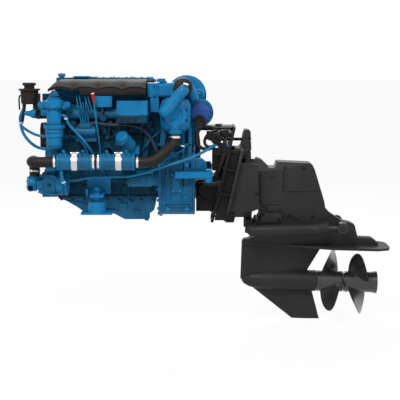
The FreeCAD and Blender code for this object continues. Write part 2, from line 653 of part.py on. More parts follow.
# Port side of the engine
sizes(cooler_y=300, cooler_z=121, cooler_radius=40, cooler_front=886, cooler_joint=691,
      cooler_aft=497, joint_half=20, hose_radius=27, band_thick=3, band_width=28, band_front=798,
      band_aft=578, band_arm=18, filter_x=906, filter_y=235, filter_low=183, oil_x=525, oil_y=185,
      oil_z=190, oil_radius=35, oil_length=96, pump_y=190, pump_radius=39, pump_front=90,
      pump_neck_radius=31, pump_inlet_x=1016, port_z=17, port_x=1030, port_radius=15, port_bore=11,
      port_reach=62, pump_inlet=25, inlet_top=40, oil_cooler_radius=58, oil_cooler_length=67,
      starter_y=184, starter_z=22, starter_radius=40, starter_length=158)


def coolers():
    """Two tube coolers end to end on the port side, each with two bolted bosses on top, held by
    bands on arms from the block."""
    line = ("-cooler_y", "cooler_z")
    parts = []
    spans = (("Front", "-cooler_front", "cooler_front-cooler_joint-joint_half"),
             ("Aft", "-cooler_joint+joint_half", "cooler_joint-joint_half-cooler_aft"))
    for name, start, length in spans:
        tube = turned(f"Cooler{name}Tube", (start, *line), "x", [
            ("0", "0"), ("0", "cooler_radius-3"), ("3", "cooler_radius"),
            (f"{length}-3", "cooler_radius"), (length, "cooler_radius-3"), (length, "0")])
        bosses = [rod(f"Cooler{name}Boss{k}", (f"{start}+({length})*({k}*0.56+0.2)", "-cooler_y",
                                               "cooler_z+cooler_radius*0.8"), "z", "9",
                      "cooler_radius*0.2+14") for k in range(2)]
        flats = [box(f"Cooler{name}Flat{k}", (f"{start}+({length})*({k}*0.56+0.2)-16", "-cooler_y-7",
                                              "cooler_z+cooler_radius*0.8"),
                     ("32", "14", "cooler_radius*0.2+5")) for k in range(2)]
        parts.append(fuse(f"Cooler{name}", [tube] + bosses + flats))
    node("cooler_tubes", group("CoolerTubes", parts))
    bands = []
    for name, middle in (("Front", "band_front"), ("Aft", "band_aft")):
        start = f"-{middle}-band_width/2"
        hoop = rod(f"Band{name}Hoop", (start, *line), "x", "cooler_radius+seat_gap+band_thick",
                   "band_width")
        arm = box(f"Band{name}Arm", (start, "-cooler_y", "cooler_z-band_arm/2"),
                  ("band_width", "cooler_y-block_width/2", "band_arm"))
        room = rod(f"Band{name}Room", (f"{start}-1", *line), "x", "cooler_radius+seat_gap",
                   "band_width+2")
        bands.append(cut(f"Band{name}", fuse(f"Band{name}Whole", [hoop, arm]), [room]))
    node("cooler_bands", group("CoolerBands", bands))


def sea_water_pump():
    """The gear driven pump on the timing case's port ear, its inlet stub on the side."""
    body = turned("PumpBody", (f"{CASE_FRONT}-pump_front", "-pump_y", "0"), "x", [
        ("0", "0"), ("0", "pump_radius-6"), ("5", "pump_radius"), ("44", "pump_radius"),
        ("50", "pump_neck_radius"), ("pump_front-8", "pump_neck_radius"),
        ("pump_front-8", "pump_neck_radius+8"), ("pump_front", "pump_neck_radius+8"),
        ("pump_front", "0")])
    inlet = rod("PumpOutlet", ("-pump_inlet_x", "-pump_y", "0"), "z", "pump_inlet", "inlet_top")
    stub = rod("PumpStub", ("-port_x", "-pump_y", "-port_z"), "-y", "port_radius", "port_reach")
    root = rod("PumpStubRoot", ("-port_x", "-pump_y", "-port_z"), "-y", "port_radius+4",
               "pump_radius+2")
    bore = rod("PumpBore", ("-port_x", "-pump_y-port_reach-1", "-port_z"), "y", "port_bore",
               "port_reach-pump_radius*0.5")
    node("sea_water_pump", cut("Pump", fuse("PumpCasting", [body, inlet, stub, root]), [bore]))


def filters():
    """The canister fuel filter on its bracket, and the spin-on oil filter, tilted outward."""
    low = "filter_low"
    canister = turned("FuelCanister", ("-filter_x", "-filter_y", low), "z", [
        ("0", "0"), ("0", "32"), ("6", "38"), ("60", "40"), ("62", "46"), ("104", "46"),
        ("104", "54"), ("122", "54"), ("122", "37"), ("204", "37"), ("208", "50"), ("242", "50"),
        ("246", "33"), ("256", "33"), ("258", "20"), ("268", "18"), ("268", "0")])
    ears = [rod("FuelEar" + str(k), (f"-filter_x+({k}*2-1)*66", "-filter_y", f"{low}+222"), "y", "16",
                "26") for k in range(2)]
    bridge = box("FuelBridge", ("-filter_x-66", "-filter_y", f"{low}+208"), ("132", "24", "28"))
    bracket = box("FuelBracket", ("-filter_x-40", "-filter_y+20", f"{low}+190"),
                  ("80", "filter_y-20-head_width/2", "24"))
    node("fuel_filter", fuse("FuelFilter", [canister, bridge, bracket] + ears))
    lean = Vector(-0.5, -0.6, 0.62)
    can = turned("OilCan", ("-oil_x", "-oil_y", "oil_z"), lean, [
        ("0", "0"), ("0", "oil_radius-6"), ("6", "oil_radius"), ("oil_length-8", "oil_radius"),
        ("oil_length", "oil_radius-8"), ("oil_length", "0")])
    seat = box("OilSeat", ("-oil_x-45", "-oil_y-12", "oil_z-40"),
               ("90", "oil_y+12-block_width/2-plug_rise", "40"))
    node("oil_filter", fuse("OilFilter", [can, seat]))


def oil_cooler():
    """The gear driven steering pump and oil cooler drum behind the timing case's ear."""
    drum = turned("OilCooler", (BLOCK_FRONT, "-pump_y-12", "0"), "x", [
        ("0", "0"), ("0", "oil_cooler_radius-12"), ("8", "oil_cooler_radius"),
        ("34", "oil_cooler_radius"), ("36", "oil_cooler_radius-5"), ("42", "oil_cooler_radius-5"),
        ("44", "oil_cooler_radius"), ("oil_cooler_length-8", "oil_cooler_radius"),
        ("oil_cooler_length", "oil_cooler_radius-14"), ("oil_cooler_length", "0")])
    stub = rod("OilCoolerStub", (f"{BLOCK_FRONT}+oil_cooler_length-14", "-pump_y-22", "8"), "-y", "11",
               "48")
    node("oil_cooler", fuse("OilCoolerWhole", [drum, stub]))


def starter_motor():
    """The starter, bolted through the flange of the flywheel housing, with its solenoid."""
    start = f"{BELL_FRONT}-starter_length"
    motor = turned("StarterMotor", (start, "-starter_y", "starter_z"), "x", [
        ("0", "0"), ("0", "starter_radius-8"), ("8", "starter_radius"),
        ("starter_length-34", "starter_radius"), ("starter_length-28", "starter_radius-6"),
        ("starter_length", "starter_radius-6"), ("starter_length", "0")])
    solenoid = rod("StarterSolenoid", (f"{start}+46", "-starter_y-18", "starter_z+starter_radius+2"),
                   "x", "17", "starter_length-70")
    saddle = box("StarterSaddle", (f"{start}+60", "-starter_y-24", "starter_z+starter_radius-16"),
                 ("60", "14", "16"))
    node("starter_motor", fuse("Starter", [motor, solenoid, saddle]))


coolers()
sea_water_pump()
filters()
oil_cooler()
starter_motor()

sizes(manifold_y=150, manifold_z=352, manifold_radius=27, runner_radius=19, runner_spacing=118,
      manifold_start=858, manifold_length=430, injection_x=752, injection_y=168, pipe_radius=4,
      box_wall=3, control_x=527, control_y=242, control_z=352, control_length=124, control_width=38,
      control_height=72, relay_x=659, relay_y=188, relay_z=391, relay_length=86, relay_width=34,
      relay_height=55, box_corner=4)


def intake_manifold():
    """The inlet log along the port side of the head with four runners."""
    log = turned("InletLog", ("-manifold_start", "-manifold_y", "manifold_z"), "x", [
        ("0", "0"), ("0", "manifold_radius-8"), ("8", "manifold_radius"),
        ("manifold_length-8", "manifold_radius"), ("manifold_length", "manifold_radius-8"),
        ("manifold_length", "0")])
    runners = [rod(f"Runner{k}", (f"-manifold_start+38+runner_spacing*{k}", "-head_width/2",
                                  "manifold_z"), "-y", "runner_radius", "manifold_y-head_width/2")
               for k in range(4)]
    flanges = [box(f"RunnerFlange{k}", (f"-manifold_start+38+runner_spacing*{k}-28", "-head_width/2-8",
                                        "manifold_z-26"), ("56", "8", "52")) for k in range(4)]
    node("intake_manifold", fuse("Inlet", [log] + runners + flanges))


def fuel_injection():
    """The injection pump on the block with its delivery pipes rising to the injectors."""
    base = box("InjectionBase", ("-injection_x-50", "-injection_y-20", "deck_height-70"),
               ("104", "injection_y+20-block_width/2", "52"))
    barrel = rod("InjectionBarrel", ("-injection_x-50", "-injection_y-22", "deck_height-20"), "x", "24",
                 "100")
    head = box("InjectionHead", ("-injection_x-30", "-injection_y-42", "deck_height+2"),
               ("54", "40", "22"))
    pipes = []
    for k in range(4):
        foot = Vector(-dim.injection_x - 22 + 13 * k, -dim.injection_y - 34, dim.deck_height + 20)
        pipes.append(made(f"Pipe{k}", hose([foot, foot + Vector(-3, 2, 34), foot + Vector(-12, -2, 72),
                                            foot + Vector(-16, 12, 110)], dim.pipe_radius)))
    node("fuel_injection", fuse("Injection", [base, barrel, head] + pipes))


def electric_boxes():
    """The engine control box and the relay box on brackets over the inlet log."""
    parts = []
    for name, key, lower in (("Control", "control", "38"), ("Relay", "relay", "0")):
        x, y, z = f"-{key}_x-{key}_length/2", f"-{key}_y-{key}_width/2", f"{key}_z"
        points = [(x, y), (f"{x}+{key}_length", y), (f"{x}+{key}_length", f"{y}+{key}_width"),
                  (x, f"{y}+{key}_width")]
        case = padded_body(f"{name}Case", "plan", points, z, f"{key}_height")
        round_edges(case, "box_corner", runs_along("z"))
        shelf = box(f"{name}Shelf", (f"-{key}_x-24", f"-{key}_y+{key}_width/2-2", HEAD_TOP),
                    ("48", f"{key}_y-{key}_width/2-head_width/2+14", "5"))
        pieces = [case, shelf]
        if lower != "0":
            pieces.append(box(f"{name}Plug", (f"{x}+4", f"{y}+6", f"{z}-{lower}"),
                              (f"{key}_length-8", f"{key}_width-12", f"{lower}")))
        parts.append(fuse(f"{name}Box", pieces))
    node("control_boxes", group("ControlBoxes", parts))


intake_manifold()
fuel_injection()
electric_boxes()

# Aft end of the engine
sizes(vessel_x=296, vessel_y=175, vessel_low=266, vessel_height=172, vessel_radius=78, vessel_neck=31,
      neck_low=258, neck_offset=60, charge_boss_x=345, charge_z=372, charge_radius=28,
      charge_face=262, tank_front=440, tank_y=116, tank_low=441, tank_height=69, tank_length=134,
      tank_width=106, tank_corner=22, drum_x=242, drum_y=5, drum_z=440, drum_radius=104,
      drum_depth=106, turbo_x=172, turbo_y=132, turbo_z=357, turbo_radius=68, turbo_depth=52,
      turbo_mouth=36, turbine_radius=52, turbine_depth=42, turbo_gap=38, exhaust_y=190,
      exhaust_z=338, exhaust_radius=34, pipe_x=200, pipe_y=264, pipe_low=40)


def aftercooler():
    """The charge cooler: a drum on end at the port quarter, domed above, with a neck below that
    takes the rear water hose and a boss on its side for the charge pipe."""
    drum = turned("Vessel", ("-vessel_x", "-vessel_y", "vessel_low"), "z", [
        ("0", "0"), ("0", "vessel_radius*0.62"), ("14", "vessel_radius*0.9"), ("34", "vessel_radius"),
        ("vessel_height-40", "vessel_radius"), ("vessel_height-14", "vessel_radius*0.86"),
        ("vessel_height", "vessel_radius*0.55"), ("vessel_height", "0")])
    seam = rod("VesselSeam", ("-vessel_x", "-vessel_y", "vessel_low+vessel_height*0.5"), "z",
               "vessel_radius+3", "6")
    neck = rod("VesselNeck", ("-vessel_x", "-vessel_y-neck_offset", "neck_low"), "z", "vessel_neck",
               "70")
    boss = rod("VesselBoss", ("-charge_boss_x", "-vessel_y", "charge_z"), "-y", "charge_radius+4",
               "charge_face-vessel_y")
    shelf = box("VesselShelf", ("-vessel_x-30", "-vessel_y", "vessel_low+20"),
                ("60", "vessel_y-30", "14"))
    leg = box("VesselLeg", ("-vessel_x-30", "-60", "bell_half"), ("60", "30",
              "vessel_low+34-bell_half"))
    node("aftercooler", fuse("Aftercooler", [drum, seam, neck, boss, shelf, leg]))


def charge_pipe():
    """The cast charge pipe: an elbow on the aftercooler's boss, then a straight rise aft."""
    rise = Vector(83, 0, 98)
    stub = rod("ChargeStub", ("-charge_boss_x", "-charge_face-30", "charge_z"), "y", "charge_radius",
               "30")
    elbow = doc.addObject("Part::Sphere", "ChargeElbow")
    bind(elbow, "Radius", "charge_radius")
    put(elbow, ("-charge_boss_x", "-charge_face-30", "charge_z"))
    riser = rod("ChargeRiser", ("-charge_boss_x", "-charge_face-30", "charge_z"), rise,
                "charge_radius", "128")
    bead = rod("ChargeBead", ("-charge_boss_x+83*0.82", "-charge_face-30", "charge_z+98*0.82"), rise,
               "charge_radius+3", "6")
    node("charge_pipe", fuse("ChargePipe", [stub, elbow, riser, bead]))


def header_tank():
    """The coolant header tank behind the engine cover, on a foot against the head."""
    x, y = "-tank_front", "-tank_y-tank_width/2"
    points = [(x, y), (f"{x}+tank_length", y), (f"{x}+tank_length", f"{y}+tank_width"),
              (x, f"{y}+tank_width")]
    tank = padded_body("Tank", "plan", points, "tank_low", "tank_height")
    round_edges(tank, "tank_corner", runs_along("z"))
    foot = box("TankFoot", (f"{x}+16", "-head_width/2-tank_width/2", "tank_low-78"),
               ("44", "tank_width/2", "80"))
    filler = rod("TankFiller", (f"{x}+tank_length*0.6", "-tank_y", "tank_low+tank_height"), "z",
                 "20", "8")
    node("header_tank", fuse("HeaderTank", [tank, foot, filler]))


def air_side():
    """The round air filter housing on its foot, and the turbocharger on its pedestal."""
    drum = turned("AirDrum", ("-drum_x", "drum_y", "drum_z"), "y", [
        ("0", "0"), ("0", "drum_radius*0.55"), ("12", "drum_radius*0.82"), ("34", "drum_radius"),
        ("drum_depth-8", "drum_radius"), ("drum_depth", "drum_radius-8"), ("drum_depth", "0")])
    boss = rod("AirBoss", ("-drum_x+68", "drum_y-12", "drum_z+32"), "y", "26", "40")
    foot = box("AirFoot", ("-drum_x-20", "drum_y+30", "bell_half"),
               ("40", "30", "drum_z-drum_radius-bell_half+8"))
    node("air_filter", fuse("AirFilter", [drum, boss, foot]))
    scroll = turned("TurboScroll", ("-turbo_x", "-turbo_y", "turbo_z"), "y", [
        ("-14", "0"), ("-14", "turbo_mouth"), ("4", "turbo_mouth+4"), ("10", "turbo_radius-16"),
        ("22", "turbo_radius"), ("turbo_depth-10", "turbo_radius"),
        ("turbo_depth", "turbo_radius-12"), ("turbo_depth", "30"), ("turbo_depth+turbo_gap", "30"),
        ("turbo_depth+turbo_gap", "turbine_radius-8"), ("turbo_depth+turbo_gap+8", "turbine_radius"),
        ("turbo_depth+turbo_gap+turbine_depth-20", "turbine_radius"),
        ("turbo_depth+turbo_gap+turbine_depth-10", "turbine_radius-10"),
        ("turbo_depth+turbo_gap+turbine_depth-10", "0")])
    mouth = rod("TurboMouth", ("-turbo_x", "-turbo_y-15", "turbo_z"), "y", "turbo_mouth-6", "4.5")
    outlet = rod("TurboOutlet", ("-turbo_x-turbo_radius*0.5", "-turbo_y+26", "turbo_z"), "z", "25",
                 "turbo_radius+4")
    pedestal = box("TurboPedestal", ("-bell_gap-34", "-turbo_y+turbo_depth+turbo_gap+8", "bell_half"),
                   ("32", "18", "turbo_z-bell_half"))
    node("turbocharger", cut("TurboWhole", fuse("Turbo", [scroll, outlet, pedestal]), [mouth]))


def exhaust_manifold():
    """The water cooled exhaust log on the starboard side, its four runners, and the down pipe
    that bends aft and down outside the flywheel housing."""
    y, z = dim.exhaust_y, dim.exhaust_z
    log = turned("ExhaustLog", ("-manifold_start", "exhaust_y", "exhaust_z"), "x", [
        ("0", "0"), ("0", "exhaust_radius-8"), ("8", "exhaust_radius"), ("520", "exhaust_radius"),
        ("520", "0")])
    runners = [rod(f"ExhaustRunner{k}", (f"-manifold_start+38+runner_spacing*{k}", "head_width/2",
                                         "exhaust_z"), "y", "runner_radius+3",
                   "exhaust_y-head_width/2") for k in range(4)]
    start = Vector(-dim.manifold_start + 519, y, z)
    pipe = made("DownPipe", hose([start, Vector(-250, y + 10, z), Vector(-dim.pipe_x, dim.pipe_y, z - 130),
                                  Vector(-dim.pipe_x, dim.pipe_y, dim.pipe_low)],
                                 dim.exhaust_radius - 2))
    node("exhaust_manifold", fuse("Exhaust", [log, pipe] + runners))


def alternator():
    """The alternator on the starboard side of the block, behind its pulley."""
    front = f"({PULLEY_AFT}+20)"
    body = turned("AlternatorBody", (front, "alternator_y", "alternator_z"), "x", [
        ("0", "pulley_shaft+1"), ("0", "40"), ("14", "60"), ("40", "62"), ("44", "58"), ("76", "58"),
        ("80", "62"), ("104", "62"), ("118", "44"), ("118", "0"), ("26", "0"),
        ("26", "pulley_shaft+1")])
    ear = box("AlternatorEar", (f"{front}+46", "block_width/2+plug_rise", "alternator_z-14"),
              ("26", "alternator_y-block_width/2-plug_rise-50", "28"))
    node("alternator", fuse("Alternator", [body, ear]))


aftercooler()
charge_pipe()
header_tank()
air_side()
exhaust_manifold()
alternator()

# Steering oil reservoir, hoses and pipes
sizes(tub_x=1045, tub_y=120, tub_low=402, tub_height=94, tub_radius=46, tub_neck=26, tub_cap=33,
      tub_cap_height=15, clamp_width=12, clamp_thick=2, stick_lean_x=34, stick_lean_y=94,
      stick_rise=359, stick_radius=2, tube_radius=4.5, handle_radius=9, handle_length=48,
      water_pipe_radius=7, tee_x=1094, tee_z=306)


def steering_reservoir():
    """The black oil reservoir on its bracket, with its cap."""
    tub = turned("Tub", ("-tub_x", "-tub_y", "tub_low"), "z", [
        ("0", "0"), ("0", "tub_radius-8"), ("6", "tub_radius-3"), ("tub_height-24", "tub_radius"),
        ("tub_height-24", "tub_radius+9"), ("tub_height-16", "tub_radius+9"),
        ("tub_height-14", "tub_neck"), ("tub_height", "tub_neck"), ("tub_height", "0")])
    strap = box("TubStrap", ("-tub_x+tub_radius-10", "-tub_y-12", "tub_low-76"), ("18", "30", "130"))
    arm = box("TubArm", ("-tub_x+tub_radius-10", "-tub_y+4", "tub_low-76"),
              ("tub_x-tub_radius+10-head_front", "14", "60"))
    node("steering_reservoir", fuse("Reservoir", [tub, strap, arm]))
    grip = box("TubGrip", ("-tub_x-tub_cap-1", "-tub_y-3", "tub_low+tub_height+3"),
               ("tub_cap*2+2", "6", "tub_cap_height-6"))
    lid = turned("TubLid", ("-tub_x", "-tub_y", "tub_low+tub_height"), "z", [
        ("0", "0"), ("0", "tub_cap-3"), ("2", "tub_cap"), ("tub_cap_height-3", "tub_cap"),
        ("tub_cap_height", "tub_cap-4"), ("tub_cap_height", "0")])
    node("reservoir_cap", fuse("TubCap", [lid, grip]))


CASE_FACE = -dim.bell_gap - dim.bell_length - dim.block_length - dim.case_depth - 0.3
FRONT_HOSE = [(-dim.cooler_front - 0.3, -dim.cooler_y, dim.cooler_z),
              (-dim.pump_inlet_x, -dim.cooler_y, dim.cooler_z), (-dim.pump_inlet_x, -dim.pump_y, 104),
              (-dim.pump_inlet_x, -dim.pump_y, dim.inlet_top + 0.3)]
REAR_HOSE = [(-dim.cooler_aft + 0.3, -dim.cooler_y, dim.cooler_z), (-410, -dim.cooler_y, dim.cooler_z),
             (-340, -268, 186), (-dim.vessel_x, -dim.vessel_y - dim.neck_offset, dim.neck_low - 36),
             (-dim.vessel_x, -dim.vessel_y - dim.neck_offset, dim.neck_low - 0.3)]
RISER_TOP = Vector(-dim.charge_boss_x + 83, -dim.charge_face - 30, dim.charge_z + 98)
OUTLET_X = -dim.turbo_x - dim.turbo_radius * 0.5
OUTLET_Y = -dim.turbo_y + 26
CHARGE_HOSE = [tuple(RISER_TOP), (RISER_TOP.x + 41.5, RISER_TOP.y, RISER_TOP.z + 49),
               (OUTLET_X, OUTLET_Y, RISER_TOP.z + 49),
               (OUTLET_X, OUTLET_Y, dim.turbo_z + dim.turbo_radius + 4.3)]
EXHAUST_HOSE = [(-dim.pipe_x, dim.pipe_y, dim.pipe_low - 0.3), (-dim.pipe_x, dim.pipe_y, -42),
                (-180, 235, -104), (-152, 165, -112), (-152, 75.3, -112)]
WATER_PIPE = [(-837.5, -215, 20), (-796, -215, 20), (-740, -246, 38), (-620, -250, 42),
              (-535, -250, 42), (-446, -250, 63), (-368, -250, 90), (-213, -245, 136),
              (-150, -232, 168), (-84, -150, 199), (-26, -140, 185.3)]
RETURN_HOSE = [(-dim.tub_x - 30, -dim.tub_y, dim.tub_low - 0.3), (-dim.tub_x - 30, -dim.tub_y, 376),
               (-1096, -122, 340), (-dim.tee_x, -124, dim.tee_z), (-1083, -126, 252),
               (-1043, -128, 200), (-996, -112, 170), (CASE_FACE, -112, 170)]
SUPPLY_HOSE = [(-dim.tee_x + 3, -124, dim.tee_z - 14), (-1066, -122, 268), (-1000, -112, 234),
               (CASE_FACE, -112, 234)]
FUEL_HOSE = [(-868.7, -235, 352), (-848, -235, 352), (-838, -238, 312), (-808, -228, 276),
             (-762, -222, 226), (-728, -214, 176), (-714, -170, 146), (-714, -130.3, 146)]
DRAIN_HOSE = [(-866, -300, 80.7), (-866, -300, 46), (-852, -290, 8), (-852, -260.3, 8)]


def hoses():
    """The large rubber hoses, their clamps, the small hoses and the long water pipe."""
    joint = rod("JointHose", ("-cooler_joint-joint_half", "-cooler_y", "cooler_z"), "x",
                "cooler_radius-2", "joint_half*2")
    big = [made("FrontHose", hose(FRONT_HOSE, dim.hose_radius)),
           made("RearHose", hose(REAR_HOSE, dim.hose_radius)),
           made("ChargeHose", hose(CHARGE_HOSE, dim.charge_radius - 1)),
           made("ExhaustHose", hose(EXHAUST_HOSE, dim.exhaust_radius + 3)), joint]
    node("rubber_hoses", group("RubberHoses", big))
    small = [fuse("TeeHose", [made("ReturnHose", hose(RETURN_HOSE, 8)),
                              made("SupplyHose", hose(SUPPLY_HOSE, 7))]),
             made("FuelHose", hose(FUEL_HOSE, 7.5)), made("DrainHose", hose(DRAIN_HOSE, 9))]
    node("small_hoses", group("SmallHoses", small))
    foot = Vector(-dim.stick_x, -dim.block_width / 2 - 16, dim.stick_low)
    lean = Vector(-dim.stick_lean_x, -dim.stick_lean_y, dim.stick_rise)
    line = Vector(lean)
    line.normalize()
    tube = Part.makeCylinder(dim.tube_radius, lean.Length, foot + line * 1.2, line)
    tube = tube.cut(Part.makeCylinder(dim.stick_radius + 0.2, lean.Length, foot + line * 1.2, line))
    node("engine_pipes", group("EnginePipes", [made("WaterPipe", hose(WATER_PIPE, dim.water_pipe_radius)),
                                               made("DipstickTube", tube)]))
    top = foot + line * (lean.Length + 1.2)
    blade = Part.makeCylinder(dim.stick_radius, lean.Length, foot + line * 12, line)
    handle = Part.makeCone(dim.handle_radius - 2, dim.handle_radius, dim.handle_length * 0.4, top, line)
    grip = Part.makeCylinder(dim.handle_radius, dim.handle_length * 0.6,
                             top + line * dim.handle_length * 0.4, line)
    node("dipstick", made("Dipstick", blade.fuse([handle, grip])))


def hose_clamps():
    """Band clamps near the ends of the large hoses."""
    rings = []
    spots = [(FRONT_HOSE, 0, 6, dim.hose_radius), (FRONT_HOSE, -1, 22, dim.hose_radius),
             (REAR_HOSE, 0, 6, dim.hose_radius), (REAR_HOSE, -1, 8, dim.hose_radius),
             (CHARGE_HOSE, 0, 4, dim.charge_radius - 1), (EXHAUST_HOSE, 0, 8, dim.exhaust_radius + 3)]
    for k, (route, end, inset, radius) in enumerate(spots):
        near = Vector(*route[end])
        far = Vector(*route[1 if end == 0 else -2])
        line = far - near
        line.normalize()
        inner = radius + dim.seat_gap
        rings.append(made(f"Clamp{k}", ring_shape(near + line * inset, line, inner,
                                                  inner + dim.clamp_thick, dim.clamp_width)))
    for k, shift in enumerate((-1, 1)):
        start = Vector(-dim.cooler_joint + shift * 12 - dim.clamp_width / 2, -dim.cooler_y, dim.cooler_z)
        inner = dim.cooler_radius - 2 + dim.seat_gap
        rings.append(made(f"JointClamp{k}", ring_shape(start, LINES["x"], inner,
                                                       inner + dim.clamp_thick, dim.clamp_width)))
    node("hose_clamps", group("HoseClamps", rings))


sizes(head_front=955)
steering_reservoir()
hoses()
hose_clamps()

# Transom shield
sizes(transom_angle=13, transom_thick=50, shield_thick=14, shield_half=168, opening_half=126,
      opening_low=148, opening_high=164, bolt_y=156, bolt_radius=6, bolt_head=10, bolt_rise=8,
      flange_thick=14, flange_half=172, spigot_depth=30, web_front=22, web_thick=12,
      shell_half=140, shell_wall=14, fin_half=60, fin_aft_half=26, fin_top=265, fin_front=44,
      fin_aft=98, swivel_radius=13, lower_swivel=16, ring_half=118, ring_wall=18, ring_high=150,
      ring_bar=16, ring_depth=32, tilt_pin=10, lever_low=205, lever_thick=14, lever_reach=165,
      lever_half=15, slot_clearance=2.2, ram_pin=8, ram_radius=28, ram_rod=12, ram_start=138,
      ram_length=205, yoke_low=270, yoke_high=192, trim_x=11, trim_z=247, trim_y=132,
      barrel_radius=21.5, knuckle_radius=25, knuckle_width=26, trim_shaft=10)


def leaning(name, thing):
    """Give a piece drawn on an upright transom the transom's lean."""
    whole = group(name + "Leaning", [thing])
    whole.Placement = Placement(Vector(), Rotation(CROSSWISE, 30))
    bind(whole, "Placement.Rotation.Angle", "transom_angle")
    return whole


def both_sides(points):
    """An outline in plan from its half widths along the length."""
    return [(x, f"-({half})") for x, half in points] + [(x, half) for x, half in reversed(points)]


def mirrored_outline(points):
    """An outline symmetric about the middle plane from its starboard half, listed upward."""
    return points + [(f"-({y})", z) for y, z in reversed(points)]


def bolt_places():
    """Where the transom bolts stand, upright: pairs either side."""
    return [(f"{sign}bolt_y*{share}", level) for share, level in
            (("1", "60"), ("1", "-70"), ("0.6", "-200"), ("0.86", "148")) for sign in ("-", "")]


def inner_transom_plate():
    """The shield inside the hull: a plate with a large opening, the steering bracket on top,
    shelves for the rear mounts and the exhaust box below."""
    front = "-transom_thick-shield_thick"
    sheet_points = mirrored_outline([("96", "-236"), ("shield_half*0.92", "-130"),
                                     ("shield_half", "60"), ("shield_half*0.95", "150"),
                                     ("118", "276")])
    plate = slab("ShieldPlate", "front", sheet_points, front, "shield_thick")
    hole = slab("ShieldHole", "front", mirrored_outline([
        ("70", "-opening_low+60"), ("opening_half*0.8", "-60"), ("opening_half*0.8", "110"),
        ("72", "opening_high")]), front + "-1", "shield_thick+2")
    slot = box("ShieldSlot", (front + "-1", "-74", "lever_low-18"), ("shield_thick+2", "148", "48"))
    holes = [rod(f"ShieldBoltHole{k}", (front + "-1", y, z), "x", "bolt_radius+seat_gap",
                 "shield_thick+2") for k, (y, z) in enumerate(bolt_places())]
    rim = cut("ShieldRim", plate, [hole, slot] + holes)
    lean = leaning("Shield", rim)
    top = box("ShieldTop", ("-165", "-64", "lever_low+57"), ("165", "128", "22"))
    ram_level = "lever_low+lever_thick/2"
    ram_plate = box("ShieldRamPlate", ("joint_x-lever_reach-24", "ram_start-11", f"{ram_level}-20"),
                    ("lever_reach-joint_x+14", "11", "40"))
    ram_hole = rod("ShieldRamHole", ("joint_x-lever_reach", "ram_start-12", ram_level), "y",
                   "ram_rod+1", "13")
    pieces = [lean, top, cut("ShieldRamArm", ram_plate, [ram_hole])]
    for hand, sign in (("Port", "-"), ("Starboard", "")):
        y = f"{sign}rear_arm_y-rear_arm_width/2" if not sign else "-rear_arm_y-rear_arm_width/2"
        pieces.append(box(f"ShieldShelf{hand}", ("-rear_arm_x-26", y, "rear_arm_low-bush_height-14"),
                          ("rear_arm_x+26-66", "rear_arm_width", "14")))
        inner = "-rear_arm_y" if sign else "120"
        pieces.append(box(f"ShieldArm{hand}", ("-82", inner, "rear_arm_low-bush_height-44"),
                          ("20", "rear_arm_y-120", "44")))
    pieces.append(box("ShieldExhaust", ("-192", "-75", "-160"), ("97", "150", "94")))
    pieces.append(box("ShieldExhaustNeck", ("-97", "-60", "-150"), ("14", "120", "60")))
    node("inner_transom_plate", fuse("InnerPlate", pieces))


def transom_bolts():
    """The bolts that clamp both shields to the transom, a head outside and a nut inside."""
    length = "transom_thick+shield_thick+flange_thick"
    bolts = []
    for k, (y, z) in enumerate(bolt_places()):
        shank = rod(f"BoltShank{k}", ("-transom_thick-shield_thick", y, z), "x", "bolt_radius", length)
        head = rod(f"BoltHead{k}", ("flange_thick", y, z), "x", "bolt_head", "bolt_rise")
        nut = rod(f"BoltNut{k}", ("-transom_thick-shield_thick-bolt_rise", y, z), "x", "bolt_head",
                  "bolt_rise")
        bolts.append(fuse(f"Bolt{k}", [shank, head, nut]))
    node("transom_bolts", leaning("TransomBolts", group("Bolts", bolts)))


